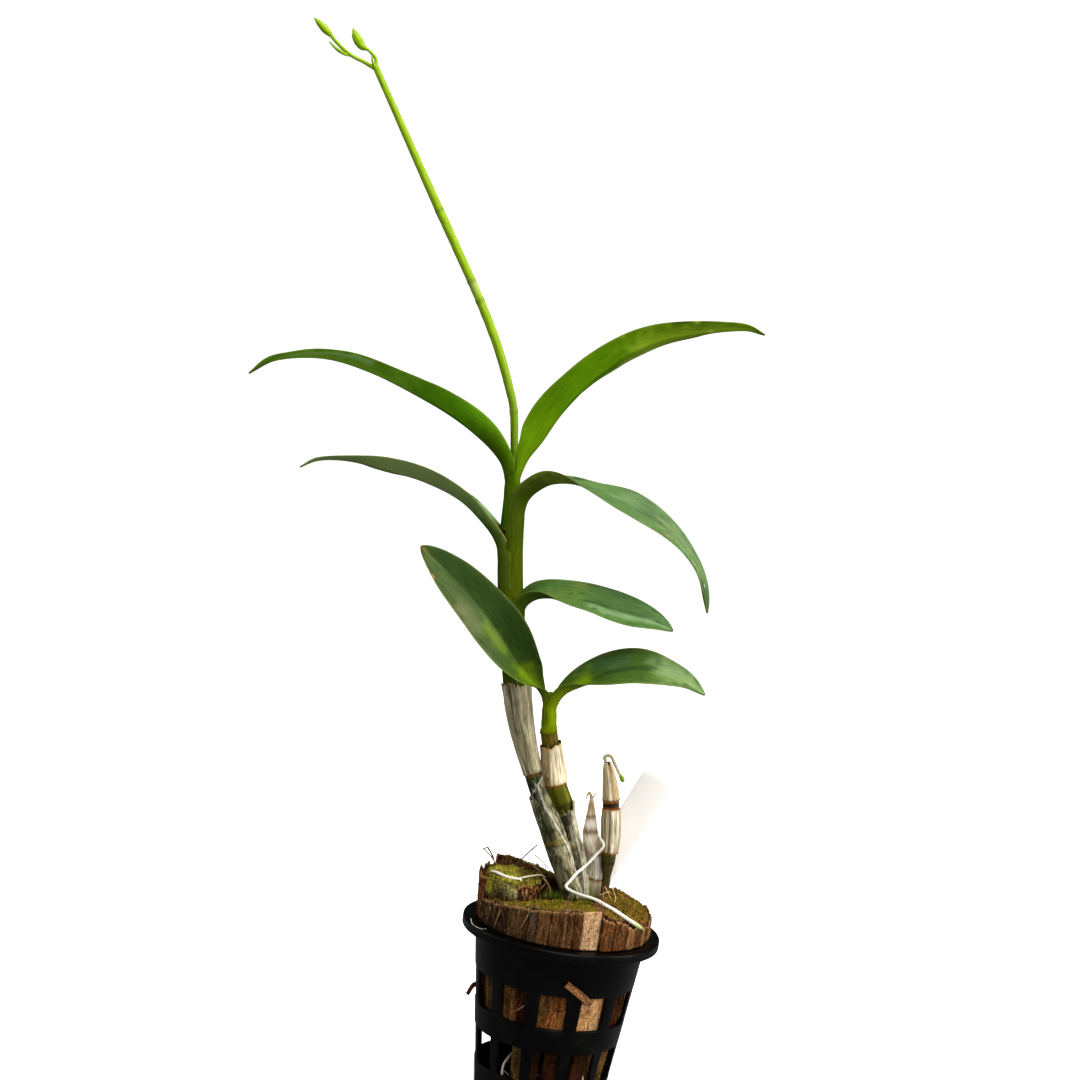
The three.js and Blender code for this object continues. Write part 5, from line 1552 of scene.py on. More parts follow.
def splinter_sheets(block, sides, start, stop, cut, seed, random):
    """The two sheets of one splinter. Across it u runs from 0 to 1 and up it t does. Its outer
    sheet lies outline + outward (thickness + relief + lean t), its two edges wander, and its top is
    torn by noise. Also gives the numbers that its colour needs."""
    _, stand, ragged = block["plates"]
    u = np.linspace(0, 1, max(5, int((stop - start) / 0.4)))[None, :]
    t = np.linspace(0, 1, 34)[:, None]
    shift = random.uniform(0, 50)
    edges = [0.16 * noise(stack(5 * t + shift, 0, k), 0.8, seed) for k in (0, 9)]
    s = start + (stop - start) * u + (1 - u) * edges[0] + u * edges[1]
    ring, outward = (sample(side, sides[-1], s) for side in sides[:2])
    over = 0.1 if cut else random.uniform(-0.9, 0.5) * ragged
    torn = (0.15 if cut else 0.55 * ragged) * noise(stack(s, 0, 0), 0.7, seed)
    high = block["top"](ring[..., 0], ring[..., 1]) + over + torn
    low = POT["height"] + 0.4
    z = low + t * (high - low)
    thick = random.uniform(0.5, 1.0)
    lean = 0 if cut else stand * random.uniform(0.2, 2.2) + random.uniform(-0.1, 0.25)
    at = stack(s, z / 12, shift)
    relief = 0.24 * fractal(at, (0.5, 1, 1), seed + 1) * (0.4 if cut else 1.0)
    round_off = 0.25 * np.abs(2 * u - 1) ** 4 + 0.35 * smooth(t, 0.95, 1)
    sheets = [np.concatenate([ring + outward * layer[..., None], z[..., None]], -1)
              for layer in (thick + relief - round_off + lean * t, lean * t - 0.25 + 0 * s)]
    return sheets, {"u": u, "s": s, "z": z, "x": ring[..., 0], "high": high, "shift": shift}


def splinter_tint(block, form, cut, seed, random):
    """One colour of the list for each splinter, or the facet's own, streaked and specked along
    it, with painted shade at its two sides and, on a chunk with a shadow stretch, a grey painted
    shade towards its left, and pale at its torn top."""
    s, z, shift = form["s"], form["z"], form["shift"]
    base = linear(block["facet"][1]) if cut else palette_draw(block["plates"][0], 1, random)[0]
    streak = 0.5 + 0.5 * fractal(stack(s, z / 12, shift), (0.35, 0.5, 1), seed + 3)
    speck = smooth(noise(stack(s, z * 0.7, shift), 0.8, seed + 4), 0.2, 0.7)
    low, more, specked = (0.8, 0.3, 0.25) if cut else (0.45, 0.85, 0.85)
    grey = random.uniform(0.75, 1.2)
    painted_shade = 1 - smooth(form["x"], *block["shadow"]) if "shadow" in block else 0
    # Painted shade: darker at both sides, in the gaps between splinters, and greyer left of the
    # block's shadow stretch.
    return paint(base * grey * (low + more * streak[..., None]),
                 ([0.34, 0.28, 0.24], specked * speck),
                 (0.3, 0.8 * (bump(form["u"], 0, 0.05) + bump(form["u"], 1, 0.05))),
                 ([0.4, 0.48, 0.56], painted_shade),
                 ("cfa877", 0.7 * bump(z, form["high"], 0.9) * (0.4 + 0.6 * streak)))


def husk_splinters(name, seed):
    """Splinters side by side round a chunk, from its first point near the pot's wall to its
    last. A cut facet gets one wide smooth splinter."""
    block, random = BLOCKS[name], np.random.default_rng(seed)
    ring, run = closed_outline(block["outline"], *CHUNK_OUTLINE)
    ring = np.roll(ring, -np.argmin(np.linalg.norm(ring, axis=1)), axis=0)
    begin, end = np.flatnonzero(np.linalg.norm(ring, axis=1) > block["radius"] - 1.1)[[0, -1]]
    corner = block["facet"][0] if "facet" in block else ring[end]
    facet_at = run[np.argmin(np.linalg.norm(ring - corner, axis=1))]
    sides, made = (ring, outward_of(ring), run), []
    for start, stop in plate_stretches((run[begin], run[end]), facet_at, random):
        cut = "facet" in block and start == facet_at
        sheets, form = splinter_sheets(block, sides, start, stop, cut, seed, random)
        tint = splinter_tint(block, form, cut, seed, random)
        lay = stack(form["z"], form["s"], form["shift"])
        # The inner face is a copy at a third of the brightness: painted shade against the chunk.
        made.append(slab(*sheets, tint, lay, tint * 0.35))
    return join(made)


for seed, name in enumerate(BLOCKS):
    if "plates" in BLOCKS[name]:
        make_piece(f"husk_{name}_splinters", husk_splinters(name, 120 + seed), coir)

# %% Chips inside the pot
# Each chip: the bearings it spans, its inner radius, how far it stands back from the wall, and
# its kind of husk.
CHIP_BARK = {
    "tan": ("6a4822", "dcb47c"), "brown": ("54361a", "b68c58"),
    "light": ("d89c60", "ffdcae"), "red": ("2c140a", "7c4424"),
    "olive": ("4a3a1a", "b09a62"), "dark": ("1e120a", "5a3a20"),
}
MIDDLE_CHIPS = {
    "a": (-168, -153, 15, 1.2, "tan"), "b": (-149, -137, 16, 0.2, "olive"),
    "c": (-135, -121, 15, 0.4, "brown"), "d": (-119, -107, 17, 2.2, "red"),
    "e": (-105, -76, 15, 0.1, "brown"), "f": (-73, -46, 14, 0.3, "light"),
    "g": (-43, -16, 15, 1.5, "red"), "h": (-13, 24, 14, 0.5, "tan"),
    "i": (27, 76, 14, 0.8, "olive"), "j": (79, 128, 14, 0.4, "light"),
    "k": (131, 188, 14, 0.9, "red"),
}
LOWER_CHIPS = {
    "a": (-122, -109, 15, 1.0, "olive"), "b": (-104, -94, 15, 1.4, "dark"),
    "c": (-92, -76, 15, 0.8, "dark"), "d": (-66, -50, 14, 0.5, "dark"),
    "e": (-22, 32, 14, 1.0, "tan"), "f": (48, 98, 14, 0.6, "olive"),
}


def husk_chip(start, end, inner, recess, bark, bottom, top, seed):
    """A wedge of a ring that follows the pot's taper, a little clear of its wall."""
    outer = pot_room((bottom + top) / 2) - recess - 0.3
    corners = (arc_corners(outer, start + 1, end - 1, 8)
               + arc_corners(inner, end - 1, start + 1, 4))
    grid, lay, masks = rough_husk(closed_outline(corners, 0.55, 0.6), bottom, top - 0.6,
                                  lambda x, y: top - 0.9 + 0 * x, seed, wild=0.55, dome=0)
    grid[..., :2] *= pot_radius(grid[..., 2:]) / pot_radius((bottom + top) / 2)
    palette = CHIP_BARK[bark]
    return tube(grid, husk_tint(grid, masks, palette, palette, -2.0, seed)[0], lay)


layers = [("middle", MIDDLE_CHIPS, HUSK["lower_top"] + CLEARANCE, HUSK["middle_top"]),
          ("lower", LOWER_CHIPS, POT["floor"] + CLEARANCE, HUSK["lower_top"])]
for layer, chips, bottom, top in layers:
    for seed, (letter, chip) in enumerate(chips.items()):
        made = husk_chip(*chip, bottom, top, 200 + seed)
        name = f"husk_chip_{layer}_{letter}"
        make_piece(f"{name}_fibres", made, coir, [name])


def core_shape():
    """A rough pillar of husk in the pot's middle, behind the chips."""
    outline = closed_outline(arc_corners(HUSK["core_radius"] - 0.6, 0, 330, 11), 0.8, 1.0)
    top = HUSK["middle_top"] - 1
    grid, lay, masks = rough_husk(outline, POT["floor"] + CLEARANCE, top, lambda x, y: top + 0 * x,
                                  190, wild=0.5, dome=0)
    palette = CHIP_BARK["dark"]
    return tube(grid, husk_tint(grid, masks, palette, palette, -2.0, 190)[0], lay)


make_piece("husk_core_fibres", core_shape(), coir, ["husk_core"])

# %% [markdown]
# ## Loose fibres and moss
#
# What makes husk look like husk is what comes loose from it: thousands of thin fibres on its walls
# and along its torn edges, and a velvet of moss on its tops. Both are bristles, drawn at random
# places on the surfaces made above.


# %% Loose fibres
def scatter(grid, share, count, random):
    """Random places on a grid with their outward normals. A point is drawn with a chance in
    proportion to the area round it times its share, then moved within its cell."""
    down = np.gradient(grid, axis=0)
    across = (np.roll(grid, -1, axis=1) - np.roll(grid, 1, axis=1)) / 2
    normal = np.cross(down, across)
    away = ((grid - grid.reshape(-1, 3).mean(0)) * normal).sum(-1, keepdims=True)
    chance = (np.linalg.norm(normal, axis=-1) * share).ravel()
    pick = random.choice(chance.size, count, p=chance / chance.sum())
    shift = random.uniform(-0.5, 0.5, (2, count, 1))
    flat = [layer.reshape(-1, 3)[pick] for layer in (grid, down, across)]
    points = flat[0] + shift[0] * flat[1] + shift[1] * flat[2]
    return points, unit(normal * np.sign(away)).reshape(-1, 3)[pick]


RIM_TOP = 81.2  # the fibres end above this, just clear of the pot's flange


def husk_fibres(name, count, seed):
    """Fibres that lie along a chunk's wall, and shorter ones that stand up at its torn edge."""
    random = np.random.default_rng(seed)
    grid, on_top, _ = tops[name]
    above = grid[..., 2] > POT["height"] + 1
    edge = (on_top < 0.1) * (grid[..., 2] > BLOCKS[name]["top"](grid[..., 0], grid[..., 1]) - 1.5)
    grid = grid * [1.018, 1.018, 1]
    colours = ["6b4526", "a57f52", "c9a878", "7d4a28", "3d2817"]
    made = []
    for share, number, tall, stand in [((on_top < 0.1) * above, count // 2, (3, 11), 0.12),
                                       (edge, count // 8, (0.6, 2.2), 0.35)]:
        roots, outward = scatter(grid, share, number, random)
        flat = outward * [1, 1, 0]
        wander = random.normal(0, 0.14, (number, 3))
        up = np.array([0, 0, 1.0]) * random.choice([-1, 1], (number, 1), p=[0.4, 0.6])
        up = np.abs(up) if stand > 0.2 else up
        ahead = unit(up + stand * flat + wander)
        length = random.uniform(*tall, number)
        length = np.where(ahead[:, 2] < 0, np.minimum(length, roots[:, 2] - RIM_TOP), length)
        sag = 0.12 * random.normal(0, 1, (number, 3)) - 0.3 * stand * flat * (tall[1] > 5)
        made.append(bristles(roots + 0.05 * flat, ahead, np.maximum(length, 0.4),
                             random.uniform(0.06, 0.17, number), sag,
                             palette_draw(colours, number, random), 3))
    return join(made)


# Loose coir: single fibres, matt, each of one colour.
fibre = plant_matter("loose_coir_fibre", [(0.3, "9a9a9a"), (0.6, "ffffff")], crumbs=(1.2, 2),
                     Roughness=0.85, Specular_IOR_Level=0.25)
for seed, (name, count) in enumerate([("front_left", 900), ("right", 500), ("left", 420),
                                      ("back_left", 420), ("back_right", 400)]):
    make_piece(f"husk_{name}_loose_fibres", husk_fibres(name, count, 300 + seed), fibre)

# %% Mound of moss
MOUND = {"middle": (-24.4, -5), "reach": (13.4, 15.4), "low": 92.0, "step_up": 6.4,
         "height": 101.8}


def moss_mound():
    """Cushion over the left chunk and down its front. In polar form round its middle the height
    is low + (height - low) (1 - s^6)^0.5 for the share s of the way out, plus lumps."""
    turn = np.linspace(0, 2 * math.pi, 180, endpoint=False)[None, :]
    s = np.linspace(1, 0.01, 70)[:, None]
    wobble = 1 + 0.07 * noise(turned(1, 0, turn), 0.5, 401)
    x = MOUND["middle"][0] + MOUND["reach"][0] * wobble * s * np.cos(turn)
    y = MOUND["middle"][1] + MOUND["reach"][1] * wobble * s * np.sin(turn)
    low = MOUND["low"] + MOUND["step_up"] * smooth(y, -15, -5)
    z = low + (MOUND["height"] - low) * np.sqrt(np.maximum(1 - s**6, 0))
    place = stack(x, y, z)
    lumps = (0.8 * fractal(place, 4.0, 402) + 0.35 * noise(place, 1.1, 403)
             - 1.5 * smooth(noise(place, 1.9, 404), 0.25, 0.6))
    inside = smooth(1 - s, 0, 0.12)
    grid = stack(x, y, z + inside * lumps)
    face = (1 - smooth(z, 98.6, 100.4)) * (y < -8) * smooth(x, -34.5, -32)
    crumbs, pits = face * smooth(x, -23, -21), smooth(noise(place, 1.5, 407), 0.25, 0.5)
    # Painted shade: a grey-olive coat on the front face of the mound and a near-black patch in its
    # hollow.
    tint = paint(mix("4f4612", "a0963a", 0.5 + 0.7 * fractal(place, 2.6, 405)),
                 ("b5ae44", fresh_moss(grid)), ("6e6436", 0.8 * face),
                 ("b5a878", 0.7 * face * bump(x, -24.5, 4) * bump(z, 97, 4)),
                 ("1e170b", 0.92 * face * bump(x, -29, 4.4) * bump(z, 94.6, 2.8)))
    tint = mix(tint, mix("7a552c", "c39c66", noise(place, 0.9, 408)), crumbs)
    # Painted shade of holes and pits: near-black spots where the surface has none.
    painted_hole_shade = np.maximum(crumbs * smooth(noise(place, 1.6, 406), -0.05, 0.25), 0.7 * pits)
    return grid, paint(tint, ("1d130a", 0.9 * painted_hole_shade)), s


def fresh_moss(grid):
    """Share of bright young moss: on the crown of the mound and down its left side."""
    x, z = grid[..., 0], grid[..., 2]
    crown = smooth(z, 100.2, 101) * (1 - smooth(x, -25, -20))
    return np.maximum(crown, 0.45 * smooth(-x, 31, 35) * smooth(z, 91, 94))


print("height of the mound in mm:", round(MOUND["height"] - MOUND["low"], 1))


# %% Moss
# Moss: thousands of tiny leaves that scatter the light, so it has no gloss at all.
moss = plant_matter("moss", [(0.3, "6a6a60"), (0.62, "ffffff")], crumbs=(0.9, 3),
                    Roughness=0.95, Specular_IOR_Level=0.15)
mound, mound_tint, mound_share = moss_mound()
make_piece("moss_mound", tube(mound, mound_tint), moss)


def moss_leaves(grid, share, tint, count, tall, seed, lean=0.5):
    """Tiny pointed leaves on a surface, a little brighter than what they grow on."""
    random = np.random.default_rng(seed)
    roots, outward = scatter(grid, share, count, random)
    ahead = unit(outward + [0, 0, 0.6] + random.normal(0, lean, (count, 3)))
    colours = palette_draw(tint, count, random) * random.uniform(0.7, 1.25, (count, 1))
    return bristles(roots - 0.1 * ahead, ahead, random.uniform(*tall, count),
                    random.uniform(0.1, 0.2, count), random.normal(0, 0.25, (count, 3)), colours)


left_side = fresh_moss(mound)
bright = moss_leaves(mound, (mound_share < 0.97) * (left_side + 0.01),
                     ["6a641a", "b0a838", "e0d46a"], 2600, (0.3, 0.8), 410)
on_crown = (mound[..., 2] > 100) | (mound[..., 0] < -32)
dull = moss_leaves(mound, (mound_share < 0.97) * (1.02 - left_side) * on_crown,
                   ["3c3010", "6e5f1e", "9a8838"], 1800, (0.3, 0.8), 411)
make_piece("moss_mound_leaves", join([bright, dull]), moss)
MOSS_TOPS = {
    "front_left": (["4c3f0a", "8c7c14", "c0b23c"], 3600, (0.4, 0.8)),
    "right": (["4c3a0c", "8c7420", "bca24c"], 3400, (0.4, 0.9)),
    "back_left": (["4c3a10", "7a6a22", "9c8c44"], 1800, (0.4, 1.0)),
    "back_right": (["4a4410", "7d7624", "a39a40"], 1800, (0.4, 1.0)),
    # Near-black moss on the low centre chunk: painted shade.
    "centre": (["0c1004", "1c2608", "3a4a12"], 600, (0.8, 2.2)),
}
for seed, (name, (colours, count, tall)) in enumerate(MOSS_TOPS.items()):
    grid, on_top, grown = tops[name]
    made = moss_leaves(grid, grown * (on_top > 0.93), colours, count, tall, 420 + seed)
    make_piece(f"moss_{name}_leaves", made, moss)


def moss_tuft(middle, reach, count, tall, colours, seed):
    """A clump of longer leaves that fan out from one spot."""
    random = np.random.default_rng(seed)
    shift = random.normal(0, 1, (count, 3)) * reach
    ahead = unit(shift / np.array(reach) * 0.5 + [0, 0, 1.0])
    return bristles(np.array(middle) + shift * [1, 1, 0.2], ahead, random.uniform(*tall, count),
                    random.uniform(0.14, 0.26, count), random.normal(0, 0.3, (count, 3)),
                    palette_draw(colours, count, random))


TUFT_COLOURS = ["1c2408", "37490c", "5c7318", "808a2c"]
TUFTS = [((-6, -9.2, 93.4), (3.0, 1.6, 0.8), 180, (1.5, 3.8)),
         ((2, -10.4, 93.6), (3.4, 0.8, 0.6), 90, (0.8, 2.6)),
         ((12, -10, 94.6), (3.0, 1.2, 0.6), 240, (0.8, 2.4))]
tufts = [moss_tuft(*tuft, TUFT_COLOURS, 430 + k) for k, tuft in enumerate(TUFTS)]
make_piece("moss_tufts", join(tufts), moss)

# %% [markdown]
# ## Flower spike
#
# The spike rises from between the two top leaves. It is a thin, waxy, yellow-green stalk with one
# node low down, and it forks at its end into a few buds. Each part is a strand: a path, and a
# radius that changes along it.

# %% Flower spike
SPIKE = [[-49.2, -3.6, 279.4], [-50.8, -2.8, 290], [-53.4, -2.2, 307], [-57.2, -2, 318],
         [-63.7, -2, 333], [-70.6, -2, 346], [-78.9, -1.6, 360], [-90.3, -1, 378],
         [-101.1, -0.6, 395], [-110.5, -0.3, 410], [-119.2, 0, 424], [-126.7, 0, 436],
         [-134.5, 0, 448.5]]
SPIKE_NODES = [0.415, 0.463, 0.643]  # shares of its length where a dry bract left a scar
BRANCHES = [
    ([[-133, 0, 447], [-140, 0, 450], [-146, -1, 452], [-152, -1, 456], [-156.5, -2, 460]],
     [[0, 1], [0.3, 0.85], [1, 0.8]]),
    ([[-155, -2, 458.6], [-158, -2, 461], [-161, -2, 463.4], [-163.6, -2.4, 465.4]],
     [[0, 0.7], [0.2, 1.45], [0.42, 1.75], [0.75, 1.3], [1, 0.3]]),
    ([[-146.5, -1, 451.6], [-149, -2, 452], [-152.4, -3, 453.6], [-155.6, -3.4, 456]],
     [[0, 0.5], [0.5, 0.85], [1, 0.3]]),
    ([[-134, 0, 447.4], [-135, 1, 452], [-138, 1, 455], [-140.4, 2, 456.2]],
     [[0, 0.8], [1, 0.7]]),
    ([[-139.6, 1.8, 455.8], [-142, 2, 457], [-144.6, 2, 460], [-146.8, 2, 464]],
     [[0, 0.7], [0.2, 1.7], [0.45, 2.2], [0.75, 1.7], [1, 0.3]]),
    ([[-134.6, -0.4, 448], [-136, -1.2, 450.6], [-136.6, -1.4, 452.6]], [[0, 0.9], [1, 0.3]]),
]


def spike_shape():
    """A stalk that swells at each node and thins towards its fork, and the strands of its tip."""
    green = linear("8eae0c")
    radii = [[0, 1.6], [0.13, 1.8], [0.15, 1.95], [0.155, 1.8], [0.3, 2.0], [0.4, 2.0]]
    for node in SPIKE_NODES:
        radii += [[node - 0.006, 1.98], [node, 2.1], [node + 0.006, 1.92]]

    def green_along(s):
        """Dark at the foot, yellow-green further up, with a tan scar at each node."""
        scars = sum(bump(s, node, 0.006) for node in SPIKE_NODES)
        bract = smooth(s, *SPIKE_NODES[:2]) * (s < SPIKE_NODES[1])
        colour = mix("5f7d04", green, smooth(s, 0, 0.35))
        return paint(colour, ("b6c27c", 0.5 * bract), ("5c701a", 0.5 * scars))

    stalk = strand(SPIKE, [*radii, [0.85, 1.6], [1, 1.4]], 14, 0.6, 0.03, 3, green_along)
    tips = [strand(path, radii, 14, 0.3, 0.05, 5, green * 1.05) for path, radii in BRANCHES]
    return join([stalk, *tips])


# Young flower stalk: the same wax over paler cells, so brighter and glossier than a leaf.
spike_skin = plant_skin("flower_spike_skin", 0.4, 0.25, 0.5, 0.04)
make_piece("spike_stalk", spike_shape(), spike_skin, ["flower_spike"])

# %% [markdown]
# ## Old stalk, rhizome and roots
#
# Orchid roots are coated with velamen, a spongy white skin, and only the growing tip is green. The
# rhizome that joins the canes' feet is a knobby strand, and the stalk that dried on the old cane
# has curled over.

# %% Roots and old stalk
ROOTS = {
    "front": ([[10.8, 2, 122], [12, -1.6, 121.6], [13.6, -3.2, 119], [11, -4, 115],
               [7, -6.4, 110], [3, -10, 106.6], [0.6, -12.4, 103.4], [-1, -13.4, 101],
               [1, -14, 99.6], [5, -17, 99.2], [12, -22, 99.2], [15.6, -25, 98.6],
               [20, -26.2, 97.2], [26, -27, 94.4], [31, -26.4, 92], [34.4, -25, 90]],
              [[0, 0.55], [0.5, 0.7], [0.9, 0.9], [0.97, 0.9], [1, 0.55]]),
    "left": ([[-35, -8.2, 101.6], [-34.2, -9, 102], [-32.5, -10.6, 102.2], [-27.9, -14.4, 101.9],
              [-24, -15.4, 101.8], [-21.6, -15.4, 101.6], [-20.8, -16, 100.4]],
             [[0, 0.5], [0.3, 0.7], [0.8, 0.65], [1, 0.45]]),
    "inner_left": ([[-10, -9.4, 30], [-13, -12.4, 24], [-17.4, -15.6, 17], [-17, -17, 10],
                    [-15, -15, 3.6]], [[0, 0.6], [1, 0.5]]),
    "inner_right": ([[11, -8, 30], [15, -11, 22], [18.8, -13.4, 14], [18, -13.6, 8],
                     [16, -11.6, 3.6]], [[0, 0.6], [1, 0.5]]),
}
LEFT_BRANCH = ([[-22.6, -15.2, 101.8], [-19.4, -11.6, 102.2], [-16.1, -8.4, 102.4],
                [-12.6, -4.6, 102.2], [-10.4, -2.2, 100.8]], [[0, 0.5], [0.7, 0.42], [1, 0.3]])


def root_tint(s):
    """White velamen that turns pale green over the last tenth."""
    return mix("f7f2e4", "c4d98c", smooth(s, 0.9, 0.97))


velamen = plant_skin("root_velamen", 0.62, 0.3, 1.2, 0.1)
for seed, (name, (path, radii)) in enumerate(ROOTS.items()):
    made = strand(path, radii, 12, 0.4, 0.12, 20 + seed, root_tint)
    if name == "left":
        made = join([made, strand(*LEFT_BRANCH, 10, 0.4, 0.1, 27, linear("cfc6a8"))])
    make_piece(f"root_{name}_velamen", made, velamen, [f"root_{name}"])

rhizome = strand([[20.6, 2.4, 88.4], [17, 3.6, 88.3], [11.4, 7, 88.3], [6, 3, 88.4],
                  [3, -4, 88.5], [1, -8, 88.6]],
                 [[0, 0.9], [0.1, 1.6], [0.3, 1.9], [0.55, 1.7], [0.8, 1.9], [1, 0.8]],
                 16, 0.4, 0.2, 31, linear("6b5a30"))
make_piece("rhizome_skin", rhizome, cane_skin, ["rhizome"])
wire = strand([[9.6, 3, 156.4], [8.8, 3, 158], [10, 3, 159], [11.6, 3, 158.8], [13, 3, 157],
               [15, 3, 153.6], [17, 3, 150.6]], [[0, 0.95], [1, 0.65]], 10, 0.3, 0.15, 33,
              linear("cfc8a4"))
bud = strand([[16.6, 3, 151.2], [17.4, 3, 150.2], [18.2, 3, 149], [18.8, 3, 148]],
             [[0, 0.6], [0.5, 1.15], [0.8, 1.0], [1, 0.5]], 12, 0.2, 0.06, 34,
             linear("8fae2a"))
make_piece("old_stalk", join([wire, bud]), cane_skin, ["dried_stalk"])

# %% [markdown]
# ## Plant label
#
# The label is a thin plastic tag with rounded top corners, pushed in behind the old cane. It is
# bare.

# %% Plant label
LABEL = {"width": 15, "length": 88, "point": 6, "thickness": 0.6, "corner": 1.5, "lean": 24,
         "top": (35, 14, 150)}


def label_shape():
    """Half width by distance from the top: a quarter circle at each corner, then constant, then
    straight to a point. The tag is bowed by 0.4 mm across."""
    down = np.concatenate([np.linspace(0, 1, 8) ** 2 * LABEL["corner"],
                           np.linspace(LABEL["corner"], LABEL["length"], 70)[1:]])[:, None]
    corner = np.minimum(down, LABEL["corner"])
    half = LABEL["width"] / 2 - LABEL["corner"]
    half = half + np.sqrt(LABEL["corner"] ** 2 - (LABEL["corner"] - corner) ** 2)
    half = half * np.minimum(1, (LABEL["length"] + 0.2 - down) / LABEL["point"])
    v = np.linspace(-1, 1, 13)[None, :]
    across, bow = half * v, 0.4 * (v**2 - 0.5)
    turn = math.radians(LABEL["lean"])
    x = LABEL["top"][0] + across * math.cos(turn) - down * math.sin(turn)
    z = LABEL["top"][2] - across * math.sin(turn) - down * math.cos(turn)
    sheets = [stack(x, LABEL["top"][1] + bow + side, z)
              for side in (-LABEL["thickness"] / 2, LABEL["thickness"] / 2)]
    return slab(*sheets)


# Unfilled polystyrene sheet: milky, it lets some light through, with a faint satin gloss.
label_sheet = new_material("milky_polystyrene", Base_Color=rgba("fffaf0"), IOR=1.5,
                           Roughness=0.42, Subsurface_Weight=0.4,
                           Subsurface_Radius=(1.0, 0.95, 0.8), Subsurface_Scale=2 * MM)[0]
make_piece("label_tag", label_shape(), label_sheet, ["plant_label"])

# %% [markdown]
# ## Splinters, straws and stray fibres
#
# Husk sheds. A splinter pokes out of a slot at the front and another at the left, a few stiff
# straws stand up from the chunks at the back, one pale strand curls over the flange, and fibres
# hang in the slots. A splinter is a board along a short curve, and the rest are thin strands.


# %% Splinters
def splinter(path, width, thick, colour, seed):
    """Board along a curve, square to the pot's radius, its far end torn by noise."""
    dense = spline(path, 20)
    run = lengths(dense)
    u = np.linspace(-1, 1, 9)[None, :]
    t = np.linspace(0, 1, 40)[:, None]
    torn = 0.05 * noise(stack(u, 0 * u, 0 * u), 0.4, seed)
    where = run[-1] * np.clip(t * (1 + torn * t) - 0.04 * t * np.abs(u), 0, 1)
    middle = sample(dense, run, where)
    ahead = unit(sample(np.gradient(dense, axis=0), run, where))
    radial = unit(middle * [1, 1, 0])
    side = unit(np.cross(ahead, radial))
    across = np.cross(side, ahead)
    place = stack(u * width, t * 2, float(seed))
    grain = fractal(place, 0.5, seed)
    centre = middle + side * (u * width / 2)[..., None]
    shift = (thick / 2 + 0.08 * grain)[..., None] * across
    tint = linear(colour) * (0.75 + 0.4 * grain[..., None])
    lay = stack(where, u * width / 2, 0.0)
    # The other face is a darker copy, 0.7 of the brightness: painted shade.
    return slab(centre + shift, centre - shift, tint, lay, tint * 0.7)


SPLINTERS = [
    ([[16.6, -31.4, 55.4], [14.8, -34.4, 57], [10.9, -36.9, 60.2], [4.1, -39, 64.9]], 3.2, 0.8,
     "b98a5c"),
    ([[-31, -2.6, 48.8], [-35.6, -3, 47.4], [-38, -3.4, 42.6]], 3.2, 1.4, "8a4a2a"),
]
boards = [splinter(*board, 610 + k) for k, board in enumerate(SPLINTERS)]
make_piece("husk_splinters_in_slots", join(boards), coir)

# %% Straws
def thin_strands(rows, taper, step, seed):
    """Strands with six sides. `taper` gives [share of the length, share of the radius] pairs."""
    return [strand(path, [[share, radius * part] for share, part in taper], 6, step, 0.1, seed + k,
                   linear(colour)) for k, (path, radius, colour) in enumerate(rows)]


STRAWS = [
    ([[-39.4, 6, 107.6], [-36, 4, 105.4], [-32.6, 2, 101.6]], 0.34, "8a7a62"),
    ([[-38.2, 8, 108.5], [-35.6, 5, 105.8], [-33, 2.4, 101.4]], 0.42, "4a3424"),
    ([[-40.4, 6.4, 107.4], [-38, 7, 108.8]], 0.34, "5a4a3c"),
    ([[-15.9, 8, 112.6], [-20.4, 5, 108], [-25.1, 2, 102.6]], 0.32, "6a5c50"),
    ([[-16.8, 4, 109.3], [-12, 1.4, 106.4], [-7.2, -1, 102.6]], 0.3, "d0c09c"),
    ([[-21, 4, 106], [-15, 1, 103.8], [-9, -2, 99]], 0.24, "b39c74"),
    ([[-11.6, -4, 101], [-8.4, -5.4, 98.4], [-6, -6.6, 94]], 0.28, "b59a6c"),
    ([[-12.6, -7, 95.4], [-9.6, -6.4, 99.6]], 0.22, "c9b084"),
    ([[16.6, -8, 102], [19.4, -10, 98], [21.6, -10, 94]], 0.3, "c9a86c"),
    ([[20, -4, 101.4], [22, -9, 97.6], [20.6, -14, 94.4]], 0.26, "d8bc84"),
    ([[14.6, -13, 99], [18.6, -9, 100], [23, -6, 97]], 0.24, "b8965c"),
]
CURLS = [
    ([[-41, -19.4, 82.2], [-40.2, -21.4, 80.7], [-38.2, -24, 80.2], [-35.6, -26.6, 80.3],
      [-33.6, -28.6, 81.2]], 0.15, "e6dcc0"),
    ([[-16.5, -28.2, 46], [-12.5, -30.6, 50], [-10.6, -30.4, 54], [-13, -29.6, 55.4]], 0.2,
     "d8b488"),
    ([[-19, -27.4, 44], [-15.6, -29.4, 47], [-14, -29.6, 52]], 0.18, "8a4a2c"),
]
straws = thin_strands(STRAWS, [[0, 1], [0.6, 0.9], [1, 0.5]], 0.8, 620)
curls = thin_strands(CURLS, [[0, 1], [1, 0.6]], 0.5, 640)
make_piece("husk_straws", join(straws + curls), fibre)

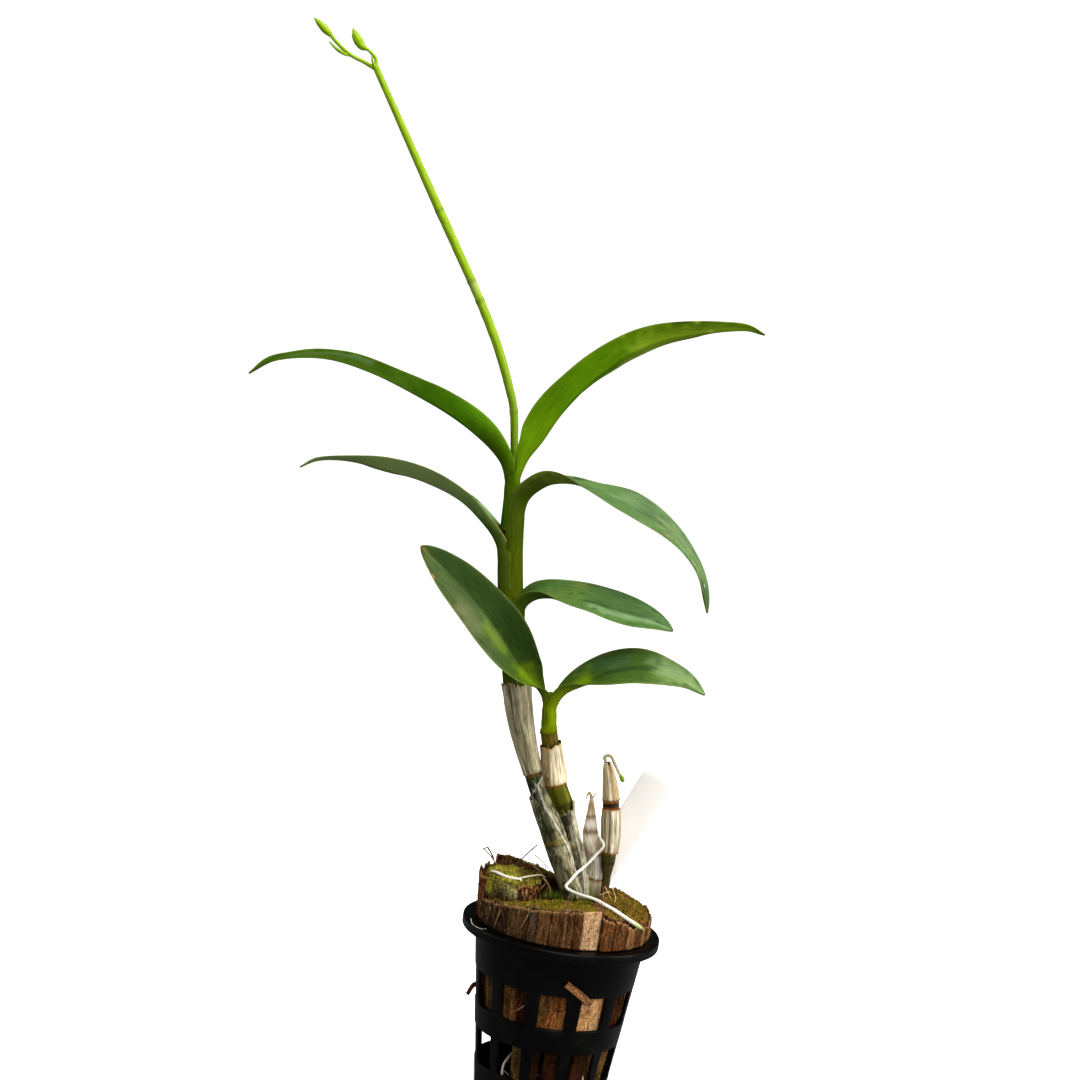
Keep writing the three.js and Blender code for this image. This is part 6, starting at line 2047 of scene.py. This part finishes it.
# %% Fibres in the slots
TANGLES = [  # the middle, the spread, how many, their length, the colours
    ((-16, -22, 12), (3.5, 2.5, 3.0), 60, (4, 12), ["e6dcc0", "c9b48a", "a58a5c"]),
    ((-6, -25, 17), (4.0, 1.5, 3.0), 40, (4, 10), ["d8c49a", "a5834c", "7a5430"]),
    ((17, -22, 12), (3.0, 2.0, 3.0), 40, (4, 10), ["e6dcc0", "b89a6c", "8a6438"]),
    ((-14, -28.6, 48), (3.0, 0.8, 4.0), 24, (4, 9), ["c9a070", "8a4a2c", "6a3820"]),
    ((10, 26, 14), (8.0, 2.0, 4.0), 60, (4, 11), ["d8c49a", "a5834c", "7a5430"]),
]


def slot_tangle(middle, spread_by, count, tall, colours, seed):
    """Fibres in a loose tangle: roots drawn round a point, lying any way, a little bent."""
    random = np.random.default_rng(seed)
    roots = np.array(middle) + random.normal(0, 0.6, (count, 3)) * spread_by
    ahead = unit(random.normal(0, 1, (count, 3)) * [1, 0.35, 0.9])
    room = pot_room(roots[:, 2]) - 1 - np.linalg.norm(roots[:, :2], axis=1)
    length = np.minimum(random.uniform(*tall, count) * 0.6, np.maximum(room, 0.5) * 1.6)
    return bristles(roots, ahead, length,
                    random.uniform(0.09, 0.18, count), random.normal(0, 0.3, (count, 3)),
                    palette_draw(colours, count, random), 5, 0.5)


tangles = [slot_tangle(*tangle, 660 + k) for k, tangle in enumerate(TANGLES)]
make_piece("husk_slot_fibres", join(tangles), fibre)

# %% Dried tip of the small cane
curl = [strand([[5.6, 8, 137.6], [5, 7.6, 139.4], [4.2, 7.2, 140], [3.6, 6.8, 138.8],
                [3.2, 6.8, 136.6]], [[0, 0.8], [0.5, 0.55], [1, 0.25]], 8, 0.3, 0.3, 671,
               linear("d8bc88")),
        strand([[5.9, 8, 137], [6.8, 7.8, 139], [7.4, 7.6, 140.6]], [[0, 0.6], [1, 0.2]], 8, 0.3,
               0.3, 672, linear("efe0c0"))]
make_piece("cane_tip_curl", join(curl), cane_skin)
